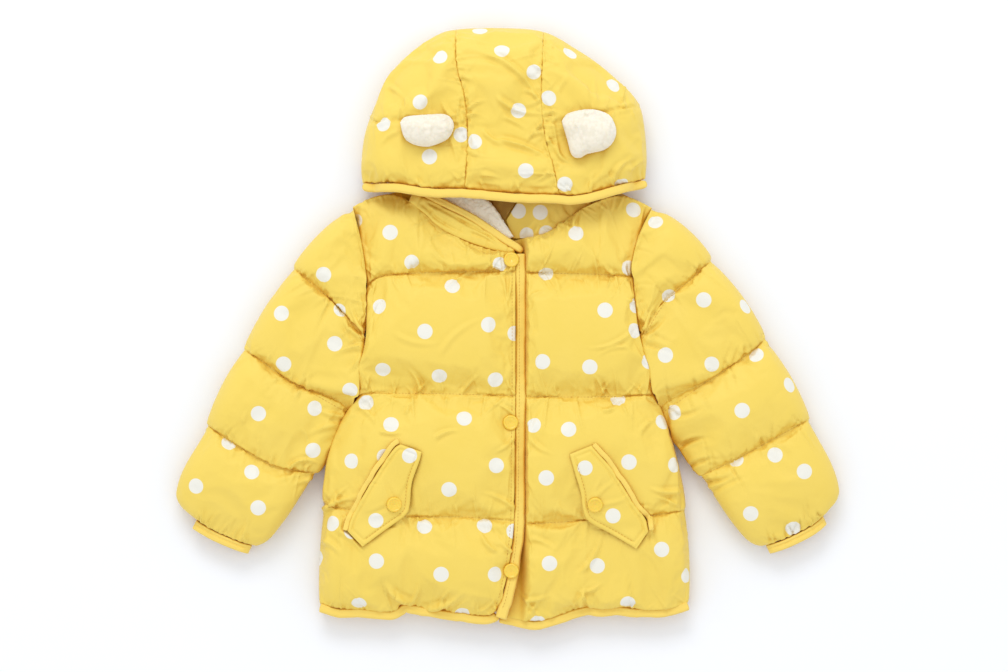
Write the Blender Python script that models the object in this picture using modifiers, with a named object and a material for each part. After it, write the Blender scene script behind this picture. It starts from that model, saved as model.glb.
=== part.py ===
"""Toddler's hooded puffer jacket, fastened and laid flat on its back, front up.

Row frame: +Z up from the table, +Y towards the hood, +X towards the wearer's left.
The origin is under the middle of the jacket, on the table. Tables are in millimetres.

The back lies on the table and the two fronts lie on it. Each sleeve is one flattened tube.
The hood lies above the neck with its crown folded under, so its hidden half is one solid.
"""

import bisect
import math

import bmesh
import bpy
from mathutils import Matrix, Vector
from mathutils.bvhtree import BVHTree

MM = 0.001

# The point of the tables below that becomes the origin: under the middle of the jacket
TABLE_POINT = Vector((-1.2, -1.2, 0.0))

# Distances between neighbouring pieces
SEAM_GAP = 0.3
LAID_GAP = 0.8

# Heights above the table
BACK_THICKNESS = 14.0
INSIDE = BACK_THICKNESS + SEAM_GAP
EDGE_HEIGHT = INSIDE + 1.2
SEAM_HEIGHT = 20.0
NECK_HEIGHT = 26.0
HEM_HEIGHT = 18.5
PLACKET_HEIGHT = 24.5
UNDERLAP_TOP = 18.2
OVERLAP_INSIDE = UNDERLAP_TOP + SEAM_GAP
SLEEVE_SLOT = 0.8
SLEEVE_WALL = 9.0

# Radii of the rounded side folds
SIDE_ROUNDING = 24.0
SEAM_ROUNDING = 20.0
UNDER_ROUNDING = 13.0

# Hood
HOOD_EDGE = 17.0
HOOD_TOP = 50.0
HOOD_MOUTH = 42.0
HOOD_WALL = 12.0
HOOD_ROUNDING = 46.0
HOOD_INSIDE_TOP = 38.0

# Trimmings
TAPE_WIDTH = 8.0
PLACKET_TAPE_WIDTH = 9.4
HEM_TAPE_WIDTH = 7.0
COLLAR_TAPE_WIDTH = 7.0
FLAP_THICKNESS = 3.0
SNAP_RADIUS = 6.75
SNAP_HEIGHT = 2.2
SNAP_SIDES = 20

YELLOW = (0.91, 0.68, 0.13, 1.0)
MUSTARD = (0.80, 0.52, 0.10, 1.0)
CREAM = (0.93, 0.89, 0.78, 1.0)

# Outer surface of each piece, and edges that others are sewn along, kept as they are made
surfaces = {}
edges = {}


# ---------------------------------------------------------------- curves and profiles


def smooth(points, pieces=8):
    """A smooth curve through a few points, as close points (Catmull-Rom)."""
    ends = [points[0], *points, points[-1]]
    line = []
    for i in range(1, len(ends) - 2):
        a, b, c, d = (Vector(p) for p in ends[i - 1 : i + 3])
        for k in range(pieces):
            t = k / pieces
            line.append(
                0.5 * (2 * b + (c - a) * t + (2 * a - 5 * b + 4 * c - d) * t**2)
                + 0.5 * (3 * b - a - 3 * c + d) * t**3
            )
    line.append(Vector(points[-1]))
    return line


def lengths_along(line):
    total = [0.0]
    for a, b in zip(line, line[1:]):
        total.append(total[-1] + (b - a).length)
    return total


def point_at(line, share):
    """The point at a share, 0 to 1, of a line's length."""
    total = lengths_along(line)
    wanted = share * total[-1]
    i = min(max(bisect.bisect_right(total, wanted) - 1, 0), len(line) - 2)
    step = max(total[i + 1] - total[i], 1e-9)
    return line[i].lerp(line[i + 1], (wanted - total[i]) / step)


def patch_point(left, right, top, bottom, v, share):
    """A point inside four joined edges, v down from the top and share from left to right."""
    sides = point_at(left, v).lerp(point_at(right, v), share)
    ends = point_at(top, share).lerp(point_at(bottom, share), v)
    corners = top[0].lerp(top[-1], share).lerp(bottom[0].lerp(bottom[-1], share), v)
    return sides + ends - corners


def distance_to(point, line):
    """How far a point in the plane is from a line."""
    best = math.inf
    for a, b in zip(line, line[1:]):
        d = b - a
        t = min(max((point - a).dot(d) / max(d.length_squared, 1e-9), 0.0), 1.0)
        best = min(best, (point - a - d * t).length)
    return best


def rounded(distance, radius):
    """0 at an edge and 1 from one radius in, rising as a quarter circle."""
    t = min(max(distance / radius, 0.0), 1.0)
    return math.sqrt(1 - (1 - t) ** 2)


def ease(t):
    t = min(max(t, 0.0), 1.0)
    return t * t * (3 - 2 * t)


def puff(v):
    """Height of the padding between two quilting seams: a creased valley at each, a crown between."""
    return math.sin(math.pi * v) ** 0.72


def belly(v, peak):
    """How far the side of a puff stands out, 0 at its seams and 1 at the peak."""
    if v < peak:
        return math.sin(math.pi / 2 * v / peak)
    return math.sqrt(max(1 - ((v - peak) / (1 - peak)) ** 2, 0.0))


# ---------------------------------------------------------------- mesh builders


def material(name, colour, roughness):
    made = bpy.data.materials.get(name)
    if made is None:
        made = bpy.data.materials.new(name)
        made.use_nodes = True
        shader = made.node_tree.nodes["Principled BSDF"]
        shader.inputs["Base Color"].default_value = colour
        shader.inputs["Roughness"].default_value = roughness
        shader.inputs["Metallic"].default_value = 0.0
    return made


def shell_cloth():
    return material("yellow_shell", YELLOW, 0.6)


def mustard_tape():
    return material("mustard_tape", MUSTARD, 0.7)


def cream_fleece():
    return material("cream_fleece", CREAM, 0.95)


def snap_plastic():
    return material("snap_plastic", YELLOW, 0.35)


def finish(name, bm, finish_material, flat_faces_joined=True):
    """Turns a bmesh in millimetres into a named object of the jacket."""
    bmesh.ops.recalc_face_normals(bm, faces=bm.faces)
    bmesh.ops.triangulate(bm, faces=bm.faces)
    surfaces[name] = BVHTree.FromBMesh(bm)
    bmesh.ops.translate(bm, vec=-TABLE_POINT, verts=bm.verts)
    bmesh.ops.scale(bm, vec=(MM, MM, MM), verts=bm.verts)
    mesh = bpy.data.meshes.new(name)
    bm.to_mesh(mesh)
    bm.free()
    mesh.materials.append(finish_material)
    mesh.shade_smooth()
    mesh.set_sharp_from_angle(angle=math.radians(50))
    piece = bpy.data.objects.new(name, mesh)
    jacket.objects.link(piece)
    if flat_faces_joined:
        joined = piece.modifiers.new("Flat faces joined", "DECIMATE")
        joined.decimate_type = "DISSOLVE"
        joined.angle_limit = math.radians(0.3)
    return piece


def underside_of(names, x, y):
    """Height of the lowest face of some pieces over a point."""
    start = Vector((x, y, -10.0))
    hits = [surfaces[name].ray_cast(start, Vector((0, 0, 1)))[0] for name in names]
    return min((hit.z for hit in hits if hit), default=math.inf)


def height_on(names, x, y, reach=0.0):
    """Height of the highest of some pieces over a point, or over a small square around it."""
    highest = 0.0
    for dx in (-reach, 0.0, reach) if reach else (0.0,):
        for dy in (-reach, 0.0, reach) if reach else (0.0,):
            start = Vector((x + dx, y + dy, 500.0))
            for name in names:
                hit = surfaces[name].ray_cast(start, Vector((0, 0, -1)))[0]
                if hit:
                    highest = max(highest, hit.z)
    return highest


def keep_clear(grid, limit, way):
    """Moves points of a grid up (way 1) or down (-1) until its faces clear a limiting height."""
    inside = (0.0, 0.25, 0.5, 0.75, 1.0)
    for _ in range(4):
        for row, after in zip(grid, grid[1:]):
            for a, b, c, d in zip(row, row[1:], after, after[1:]):
                samples = [a.lerp(b, i).lerp(c.lerp(d, i), j) for i in inside for j in inside]
                short = max(0.0, *(way * (limit(p.x, p.y) - p.z) for p in samples))
                for corner in (a, b, c, d):
                    corner.z += way * short


def grid_of(rows, columns):
    """A bmesh grid whose vertices remember their row and column."""
    bm = bmesh.new()
    bmesh.ops.create_grid(bm, x_segments=columns - 1, y_segments=rows - 1, size=1.0)
    row = bm.verts.layers.int.new("row")
    column = bm.verts.layers.int.new("column")
    for vert in bm.verts:
        vert[row] = round((vert.co.y + 1) / 2 * (rows - 1))
        vert[column] = round((vert.co.x + 1) / 2 * (columns - 1))
    return bm, row, column


def wall(name, outer, inner, finish_material, tube=False, **options):
    """A wall between the face that shows and the plain face behind it, two grids of one size.

    A tube's last column is its first column again, and its two ends stay open.
    """
    bm, row, column = grid_of(len(outer), len(outer[0]))
    for vert in bm.verts:
        vert.co = outer[vert[row]][vert[column]]
    if tube:
        bmesh.ops.remove_doubles(bm, verts=bm.verts, dist=0.001)
    made = bmesh.ops.extrude_face_region(bm, geom=bm.faces[:])["geom"]
    for vert in made:
        if isinstance(vert, bmesh.types.BMVert):
            vert.co = inner[vert[row]][vert[column]]
    return finish(name, bm, finish_material, **options)


def rod(name, rings, finish_material):
    """A solid through closed rings of points, capped at both ends."""
    closed = [[*ring, ring[0]] for ring in rings]
    bm, row, column = grid_of(len(closed), len(closed[0]))
    for vert in bm.verts:
        vert.co = closed[vert[row]][vert[column]]
    bmesh.ops.remove_doubles(bm, verts=bm.verts, dist=0.001)
    bmesh.ops.holes_fill(bm, edges=bm.edges)
    return finish(name, bm, finish_material)


# ---------------------------------------------------------------- sections between seams

STEPS = (0.0, 0.08, 0.25, 0.5, 0.75, 0.92)
SHARES = (0.0, 0.02, 0.07, 0.15, 0.27, 0.42, 0.58, 0.73, 0.85, 0.93, 0.98, 1.0)


def sections(seams, puffs, shares=SHARES, steps=STEPS):
    """Points of a quilted panel, as rows of (x, y, section, v, row length, share).

    Each seam is a curve from the panel's outer edge to its inner edge. Each puff says how far
    its outer and inner ends stand out past the seams, and where along it they are widest.
    """
    curves = [smooth(seam) for seam in seams]
    rows = []
    for i, (outer_out, inner_out, peak, _) in enumerate(puffs):
        last = i == len(puffs) - 1
        for v in (*steps, 1.0) if last else steps:
            start = curves[i][0].lerp(curves[i + 1][0], v)
            end = curves[i][-1].lerp(curves[i + 1][-1], v)
            across = (end - start).normalized()
            swell = belly(v, peak)
            row = []
            for share in shares:
                p = point_at(curves[i], share).lerp(point_at(curves[i + 1], share), v)
                p = p - across * outer_out * swell * (1 - share) ** 2
                p = p + across * inner_out * swell * share**2
                row.append((p.x, p.y, i, v, (end - start).length, share))
            rows.append(row)
    return rows


def fold_depth(x, y, folds):
    """What the largest folds take from, or add to, the height of a point."""
    total = 0.0
    for x0, y0, x1, y1, depth, width in folds:
        a, b = Vector((x0, y0)), Vector((x1, y1))
        along = (b - a).normalized()
        t = (Vector((x, y)) - a).dot(along) / (b - a).length
        if -0.2 < t < 1.2:
            off = (Vector((x, y)) - a - along * t * (b - a).length).length
            total += depth * math.exp(-((off / width) ** 2)) * ease(5 * (t + 0.2)) * ease(5 * (1.2 - t))
    return total


# ---------------------------------------------------------------- body

# Armholes and sides, from the shoulder down
RIGHT_SHOULDER = (-141, 110)
LEFT_SHOULDER = (129, 109)

# Quilting seams of the wearer's right front, from the side to the front edge
RIGHT_FRONT_SEAMS = (
    (
        RIGHT_SHOULDER, (-122, 119), (-103, 121), (-84, 111), (-61, 91), (-39, 80), (-19, 73), (-2, 69),
        (5.8, 68),
    ),
    ((-129, 38), (-117, 46), (-98, 49), (-60, 51), (5.8, 52)),
    ((-136, -61), (-122, -58), (-71, -58), (5.8, -60)),
    ((-166, -158), (-144, -162), (-92, -168), (-40, -169), (4.6, -172)),
    ((-170, -249), (-129, -255), (-95, -252), (-60, -257), (-22, -259), (-10, -250)),
)
PLACKET_FOOT = (-12, -259)
# Seams of the wearer's left front, from the front edge to the side
LEFT_FRONT_SEAMS = (
    ((18, 82), (34, 87), (48, 96), (61, 105), (75, 113), (91, 119), (108, 119), LEFT_SHOULDER),
    ((18, 51), (46, 50), (82, 49), (112, 47)),
    ((18, -61), (82, -61), (130, -59)),
    ((18, -175), (71, -172), (124, -168), (158, -163)),
    ((18, -266), (42, -261), (68, -255), (101, -253), (118, -255), (161, -249)),
)
# How far each puff's outer and inner end stands out, where it is widest, and its rise
RIGHT_FRONT_PUFFS = (
    (-3.0, 0.0, 0.5, 15.0),
    (-4.0, 0.0, 0.5, 19.0),
    (9.0, 0.0, 0.45, 18.0),
    (2.5, 2.5, 0.5, 17.0),
)
LEFT_FRONT_PUFFS = (
    (0.0, -6.0, 0.5, 15.0),
    (0.0, -4.0, 0.45, 19.0),
    (0.0, 6.0, 0.45, 18.0),
    (0.0, 3.0, 0.5, 17.0),
)
# Hidden edge of the left front's underlap at each seam, and where the right front rises onto it
UNDERLAP = ((-9, 76), (-10, 51), (-10, -61), (-10, -175), (-8, -259))
OVERLAP_X = -26.0

# Largest folds: start, end, depth (troughs below 0) and half width
BODY_FOLDS = (
    (-152, -180, -125, -197, -3.0, 8.0),
    (-140, -150, -166, -163, -3.0, 7.0),
    (-62, -243, -35, -222, -3.0, 8.0),
    (-103, -250, -110, -232, -4.0, 9.0),
    (-20, -200, -3, -216, -2.5, 7.0),
    (62, -250, 66, -225, -3.5, 8.0),
    (-80, -40, -74, -58, -3.0, 7.0),
    (112, -20, 122, -48, -3.0, 8.0),
    (118, -132, 150, -140, -3.0, 8.0),
)
# Where the quilting stops short under a pocket flap: x, y and radius
POCKETS = ((-118, -163, 34), (98, -167, 34))
# Where a press stud pulls the front down: x, y
STUD_SEATS = ((1.5, 62), (1, -84), (2, -217))


BACK_NECK = (
    RIGHT_SHOULDER, (-120, 117), (-96, 125), (-60, 130), (-20, 128.2), (20, 127.2), (55, 127), (92, 125),
    (112, 117), LEFT_SHOULDER,
)
BACK_SHARES = (0.0, 0.007, 0.022, 0.045, 0.2, 0.5, 0.8, 0.955, 0.978, 0.993, 1.0)
BACK_MIDDLES = ((0, 50), (0, -60), (0, -171), (0, -254))


def seam_level(section, v, x):
    """Height of a front's quilting valleys: low at the shoulder's point, high at the neck."""
    neck = EDGE_HEIGHT + (NECK_HEIGHT - EDGE_HEIGHT) * ease((104 - abs(x)) / 22)
    levels = (neck, SEAM_HEIGHT, SEAM_HEIGHT, SEAM_HEIGHT, HEM_HEIGHT)
    return levels[section] * (1 - v) + levels[section + 1] * v


def quilting_at(x, y, v):
    """The puff's profile, filled up where a pocket keeps the quilting from the cloth."""
    filled = max(ease((r - math.hypot(x - px, y - py)) / 16) for px, py, r in POCKETS)
    return puff(v) + max(0.62 - puff(v), 0.0) * filled


def side_level(y):
    """Height of a front's side edge: a seam along the armhole, a fold below it."""
    return EDGE_HEIGHT + (SEAM_HEIGHT - EDGE_HEIGHT) * ease((y + 22) / 14) * ease((106 - y) / 12)


def crown_height(x, y, section, v, rise, to_side):
    """Height of a front's outer face before its front edge is shaped."""
    low = side_level(y)
    crown = seam_level(section, v, x) + rise * quilting_at(x, y, v)
    folds = fold_depth(x, y, BODY_FOLDS) * rounded(to_side, 12.0)
    return low + (crown - low) * rounded(to_side, SIDE_ROUNDING) + folds


def front_right():
    """The right front: puffs above, a plain inside that rises onto the other front's underlap."""
    outer, inner = [], []
    for row in sections(RIGHT_FRONT_SEAMS, RIGHT_FRONT_PUFFS):
        shown, hidden = [], []
        for x, y, section, v, length, share in row:
            z = crown_height(x, y, section, v, RIGHT_FRONT_PUFFS[section][3], share * length)
            z = PLACKET_HEIGHT + (z - PLACKET_HEIGHT) * rounded((1 - share) * length + 2, 34.0)
            for sx, sy in STUD_SEATS:
                near = math.exp(-(((x - sx) ** 2 + (y - sy) ** 2) / 12.0**2))
                z += (PLACKET_HEIGHT - z) * near
            base = INSIDE + (OVERLAP_INSIDE - INSIDE) * ease((x - OVERLAP_X) / 6)
            shown.append(Vector((x, y, max(z, base + 1.2))))
            hidden.append(Vector((x, y, base)))
        outer.append(shown)
        inner.append(hidden)
    edges["placket"] = [row[-1].xy for row in outer]
    edges["side_right"] = [row[0].xy for row in outer]
    edges["hem_right"] = [p.xy for p in outer[-1]]
    wall("front_right", outer, inner, shell_cloth())


def front_left():
    """The left front, with a thin flat underlap that the right front covers."""
    outer, inner = [], []
    for row in sections(LEFT_FRONT_SEAMS, LEFT_FRONT_PUFFS):
        section, v = row[0][2:4]
        hidden_edge = Vector(UNDERLAP[section]).lerp(Vector(UNDERLAP[section + 1]), v)
        shown = [hidden_edge.to_3d(), Vector((row[0][0] - 0.6, row[0][1], 0))]
        for point in shown:
            point.z = UNDERLAP_TOP
        for x, y, section, v, length, share in row:
            z = crown_height(x, y, section, v, LEFT_FRONT_PUFFS[section][3], (1 - share) * length)
            z = UNDERLAP_TOP + (z - UNDERLAP_TOP) * rounded(share * length, SEAM_ROUNDING)
            shown.append(Vector((x, y, max(z, INSIDE + 1.2))))
        outer.append(shown)
        inner.append([Vector((p.x, p.y, INSIDE)) for p in shown])
    edges["side_left"] = [row[-1].xy for row in outer]
    edges["hem_left"] = [p.xy for p in outer[-1][:1] + outer[-1][2:]]
    wall("front_left", outer, inner, shell_cloth())


def back():
    """The back: flat where it rests, rounded up to the side folds, plain inside."""
    right = [seam[0] for seam in RIGHT_FRONT_SEAMS]
    left = [seam[-1] for seam in LEFT_FRONT_SEAMS]
    seams = [BACK_NECK, *zip(right[1:], BACK_MIDDLES, left[1:])]
    puffs = [(r[0], p[1], r[2], 0.0) for r, p in zip(RIGHT_FRONT_PUFFS, LEFT_FRONT_PUFFS)]
    outer, inner = [], []
    for row in sections(seams, puffs, shares=BACK_SHARES):
        under, over = [], []
        for x, y, section, v, length, share in row:
            beside_fold = 1 - rounded(min(share, 1 - share) * length, UNDER_ROUNDING)
            lift = (BACK_THICKNESS - 1.2) * beside_fold * (1 - ease((y + 22) / 14))
            if section == 3:
                lift = max(lift, 3.0 * (1 - rounded((1 - v) * 90.0, UNDER_ROUNDING)))
            under.append(Vector((x, y, lift)))
            over.append(Vector((x, y, BACK_THICKNESS)))
        outer.append(under)
        inner.append(over)
    edges["hem_back"] = [p.xy for p in outer[-1]]
    wall("back", outer, inner, shell_cloth())


# ---------------------------------------------------------------- sleeves

# Quilting seams from the sleeve's outer fold to its inner one, armhole first, cuff last
RIGHT_SLEEVE_SEAMS = (
    ((-141.6, 110), (-132.8, 75), (-129.6, 45), (-128.6, 15), (-129.6, -3)),
    ((-194, 55), (-173, 37), (-157, 23), (-141, 4), (-131, -12)),
    ((-239, -18), (-222, -29), (-202, -43), (-181, -55), (-144.5, -76)),
    ((-272, -86), (-251, -100), (-222, -117), (-202, -125), (-173, -130)),
    ((-283, -171), (-264, -182), (-243, -191), (-230, -195)),
)
LEFT_SLEEVE_SEAMS = (
    ((129.6, 109), (119, 86), (113.4, 66), (112.6, 45), (115.5, 17), (117.5, -1)),
    ((182, 62), (164, 45), (151, 34), (138, 21), (119.5, -9)),
    ((231, -8), (219, -19), (202, -31), (184, -43), (140, -74)),
    ((271, -81), (257, -88), (228, -104), (202, -118), (172, -132.5)),
    ((284, -167), (270, -178), (248, -189), (230, -195)),
)
RIGHT_SLEEVE_PUFFS = (
    (5.0, 0.0, 0.5, 15.0),
    (3.0, 7.0, 0.5, 17.0),
    (3.0, 5.0, 0.5, 17.0),
    (20.0, 9.0, 0.8, 16.0),
)
LEFT_SLEEVE_PUFFS = (
    (7.0, 0.0, 0.5, 15.0),
    (4.0, 7.0, 0.5, 17.0),
    (3.0, 4.0, 0.5, 17.0),
    (17.0, 10.0, 0.8, 16.0),
)
SLEEVE_SHARES = (0.0, 0.025, 0.1, 0.24, 0.42, 0.58, 0.76, 0.9, 0.975, 1.0)
SLEEVE_END_HEIGHT = 17.0
CUFF_LENGTH = 9.0


def kept_off_body(row, side):
    """A sleeve's row, its inner end drawn back where it would press into the body's side."""
    limit = [p for p in edges[side] if p.y < 10]
    kept = []
    for x, y, section, v, length, share in row:
        if section and share > 0.5 and y > limit[-1].y:
            i = next(k for k in range(1, len(limit)) if limit[k].y <= y or k == len(limit) - 1)
            a, b = limit[i - 1], limit[i]
            edge_x = a.x + (b.x - a.x) * min(max((a.y - y) / (a.y - b.y), 0.0), 1.0)
            way = 1 if edge_x > 0 else -1
            x = way * max(way * x, way * edge_x + LAID_GAP + (1 - share) * 20)
        kept.append((x, y, section, v, length, share))
    return kept


def sleeve(name, seams, puffs, side):
    """A sleeve as one flattened tube: puffs on top, flat below, a narrow slot inside."""
    rows = [kept_off_body(row, side) for row in sections(seams, puffs, shares=SLEEVE_SHARES)]
    middle = BACK_THICKNESS + SLEEVE_SLOT / 2
    outer, inner = [], []
    for number, row in enumerate(rows):
        length = row[0][4]
        top, bottom, slot_top, slot_bottom = [], [], [], []
        for x, y, section, v, _, share in row:
            levels = (SEAM_HEIGHT, SEAM_HEIGHT, SEAM_HEIGHT, SEAM_HEIGHT, SLEEVE_END_HEIGHT)
            seam = levels[section] * (1 - v) + levels[section + 1] * v
            crown = seam + puffs[section][3] * puff(v)
            edge = rounded(min(share, 1 - share) * length, min(SIDE_ROUNDING, length * 0.3))
            end_lift = 5.0 * (1 - rounded((1 - v) * 70.0, 16.0)) if section == 3 else 0.0
            top.append(Vector((x, y, middle + (crown - middle) * edge)))
            low = rounded(min(share, 1 - share) * length, UNDER_ROUNDING)
            bottom.append(Vector((x, y, max(middle * (1 - low), end_lift))))
            inset = SLEEVE_WALL / length + (1 - 2 * SLEEVE_WALL / length) * share
            ends = Vector(row[0][:2]), Vector(row[-1][:2])
            p = point_at([Vector(q[:2]) for q in row], inset) if number else ends[0].lerp(ends[1], inset)
            side = 0.0 if share in (0.0, 1.0) else SLEEVE_SLOT / 2
            slot_top.append(Vector((p.x, p.y, middle + side)))
            slot_bottom.append(Vector((p.x, p.y, middle - side)))
        outer.append(top + bottom[-2:0:-1] + top[:1])
        inner.append(slot_top + slot_bottom[-2:0:-1] + slot_top[:1])
    first = rows[0]
    for k in range(len(inner[0])):
        mate = outer[0][k]
        inner[0][k].x, inner[0][k].y = inset_point(first, mate)
    return wall(name, outer, inner, shell_cloth(), tube=True)


def inset_point(row, point):
    """Where the slot meets the armhole: on the armhole line, a wall's width in from its ends."""
    line = [Vector(q[:2]) for q in row]
    total = lengths_along(line)
    nearest = min(range(len(line)), key=lambda i: (line[i] - point.xy).length)
    share = total[nearest] / total[-1]
    inset = SLEEVE_WALL / total[-1]
    p = point_at(line, inset + (1 - 2 * inset) * share)
    return p.x, p.y


def cuff(name, seam, outward):
    """The narrow bound cuff that the sleeve's end is gathered into."""
    line = smooth(seam)
    out = Vector(outward).normalized()
    shares = (0.0, 0.06, 0.25, 0.5, 0.75, 0.94, 1.0)
    low, high = 6.0, 20.0
    middle = (low + high) / 2
    outer, inner = [], []
    for reach in (SEAM_GAP, 2.0, CUFF_LENGTH - 1.5, CUFF_LENGTH):
        slim = 1.2 if reach == CUFF_LENGTH else 0.0
        top, bottom, slot_top, slot_bottom = [], [], [], []
        for share in shares:
            p = point_at(line, 0.02 + 0.96 * share) + out * reach
            q = point_at(line, 0.07 + 0.86 * share) + out * reach
            bulge = rounded(min(share, 1 - share), 0.2) * ((high - low) / 2 - slim)
            side = 0.0 if share in (0.0, 1.0) else SLEEVE_SLOT / 2
            top.append(Vector((p.x, p.y, middle + bulge)))
            bottom.append(Vector((p.x, p.y, middle - bulge)))
            slot_top.append(Vector((q.x, q.y, middle + side)))
            slot_bottom.append(Vector((q.x, q.y, middle - side)))
        outer.append(top + bottom[-2:0:-1] + top[:1])
        inner.append(slot_top + slot_bottom[-2:0:-1] + slot_top[:1])
    return wall(name, outer, inner, mustard_tape(), tube=True)


# ---------------------------------------------------------------- hood

# Outline of the folded hood, from the right end of the face edge over the crown to the left
HOOD_OUTLINE = (
    (-132, 131), (-133, 148), (-130, 174), (-122, 198), (-108, 228), (-88, 249), (-66, 264),
    (-48, 269.5), (-10, 271), (31, 267.5), (62, 251), (85, 235), (109, 213), (118, 200), (122, 181),
    (124, 155), (123, 135),
)
FACE_EDGE = (
    (-132, 131), (-100, 130), (-76, 126), (-40, 125), (-4, 122), (30, 120), (45, 119.5), (62, 119.5),
    (82, 124), (123, 135),
)
FOLD_EDGE = ((-133, 148), (-100, 135), (-60, 131), (-20, 129), (20, 128), (55, 128), (92, 133), (124, 155))
HOOD_RIGHT_SEAM = ((-48, 269.5), (-46.5, 235), (-40, 208), (-37, 180), (-38, 150), (-40, 125))
HOOD_LEFT_SEAM = ((31, 267.5), (30, 240), (29, 205), (32, 172), (39, 147), (45, 119.5))
# Where each is cut: the outline's corners at the crown, and the seams' feet on the face edge
CROWN_CORNERS = (5, 7, 9, 11)
SEAM_FEET = (3, 6)
CURVE_PIECES = 6
EAR_SEAM_DIP = 3.5
HOOD_FOLDS = (
    (-8, 235, 26, 190, -4.0, 8.0),
    (-5, 205, -26, 190, -3.0, 7.0),
    (-30, 170, 28, 158, -3.0, 7.0),
)
HOOD_STEPS = (0.0, 0.03, 0.1, 0.2, 0.32, 0.44, 0.56, 0.68, 0.8, 0.9, 0.97, 1.0)
HOOD_SHARES = (0.0, 0.04, 0.13, 0.28, 0.45, 0.62, 0.78, 0.9, 0.97, 1.0)


def stretch(curve, first, last):
    """The part of a smooth curve between two of the points it was drawn through."""
    return curve[first * CURVE_PIECES : last * CURVE_PIECES + 1]


def hood_height(x, y, top, inset=0.0):
    """A dome over the hood's outline that comes down a little to the face edge."""
    from_outline = distance_to(Vector((x, y)), hood_outline) - inset
    face = 1 - ease((y - 118) / 60)
    crown = top - (HOOD_TOP - HOOD_MOUTH) * face
    return HOOD_EDGE + (crown - HOOD_EDGE) * rounded(from_outline, HOOD_ROUNDING)


def hood_inside(x, y):
    return hood_height(x, y, HOOD_INSIDE_TOP, HOOD_WALL)


def hood_panel(name, edges, seamed, ear_seam=None):
    """A top panel of the hood between its left, right, crown and face edges.

    Its seams dip, and so does the level seam across it that holds an ear.
    """
    left, right, top, bottom = edges
    outer, inner = [], []
    for v in HOOD_STEPS:
        shown, hidden = [], []
        for share in HOOD_SHARES:
            p = patch_point(left, right, top, bottom, v, share)
            base = hood_inside(p.x, p.y)
            z = hood_height(p.x, p.y, HOOD_TOP) + 1.2
            settled = rounded(z - HOOD_EDGE - 1.2, 20.0)
            width = (point_at(right, v) - point_at(left, v)).length
            from_seams = [d for d, sewn in zip((share * width, (1 - share) * width), seamed) if sewn]
            z -= 3.0 * (1 - rounded(min(from_seams), 22.0)) * settled
            bound = rounded(distance_to(p, face_edge), 26.0)
            z = min(z, base + 5.0) * (1 - bound) + z * bound
            if ear_seam:
                seam_y = ear_seam[0] + (ear_seam[1] - ear_seam[0]) * share
                z -= EAR_SEAM_DIP * math.exp(-(((p.y - seam_y) / 7.0) ** 2)) * settled
            z += fold_depth(p.x, p.y, HOOD_FOLDS) * settled
            shown.append(Vector((p.x, p.y, max(z, base + 1.2))))
            hidden.append(Vector((p.x, p.y, base)))
        outer.append(shown)
        inner.append(hidden)
    return wall(name, outer, inner, shell_cloth())


def hood_under():
    """The hood's hidden half, folded under the part that shows: one rounded solid."""
    first, last = CROWN_CORNERS[0], CROWN_CORNERS[-1]
    left = stretch(hood_outline, 1, first)[::-1]
    top = stretch(hood_outline, first, last)
    right = stretch(hood_outline, last, len(HOOD_OUTLINE) - 2)
    bottom = smooth(FOLD_EDGE)
    outer, inner = [], []
    for v in (0.0, 0.03, 0.1, 0.22, 0.4, 0.6, 0.75, 0.86, 0.95, 1.0):
        under, over = [], []
        for share in (0.0, 0.012, 0.05, 0.14, 0.3, 0.5, 0.7, 0.86, 0.95, 0.988, 1.0):
            p = patch_point(left, right, top, bottom, v, share)
            lift = (HOOD_EDGE - 2.0) * (1 - rounded(distance_to(p, hood_outline), UNDER_ROUNDING))
            highest = hood_inside(p.x, p.y) - LAID_GAP
            from_mouth = rounded((1 - v) * 140.0, 22.0)
            over.append(Vector((p.x, p.y, 15.2 + (highest - 15.2) * from_mouth)))
            under.append(Vector((p.x, p.y, lift)))
        outer.append(under)
        inner.append(over)
    panels = ("hood_right", "hood_center", "hood_left")
    keep_clear(inner, lambda x, y: underside_of(panels, x, y) - 2 * LAID_GAP, -1)
    for under, over in zip(outer, inner):
        for low, high in zip(under, over):
            if distance_to(high.xy, hood_outline) < 0.5:
                high.z = HOOD_EDGE - SEAM_GAP
            low.z = min(low.z, high.z - 1.0)
    return wall("hood_under", outer, inner, shell_cloth())


def ear(name, on, centre, half_sizes, turn, thickness):
    """A fleece ear: a soft pad that lies on the hood where its seam holds it."""
    bm = bmesh.new()
    bmesh.ops.create_uvsphere(bm, u_segments=20, v_segments=10, radius=1.0)
    for vert in bm.verts:
        flat = vert.co.xy
        level = vert.co.z
        squared = flat.length**0.85 / max(flat.length, 1e-9)
        flat = Vector((flat.x * half_sizes[0], flat.y * half_sizes[1])) * squared
        x, y = Vector(centre) + Matrix.Rotation(turn, 2) @ flat
        rise = 0.25 + 0.75 * level if level > 0 else 0.25 * (1 + level)
        vert.co = Vector((x, y, height_on((on,), x, y) + LAID_GAP + thickness * rise))
    return finish(name, bm, cream_fleece())


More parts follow.
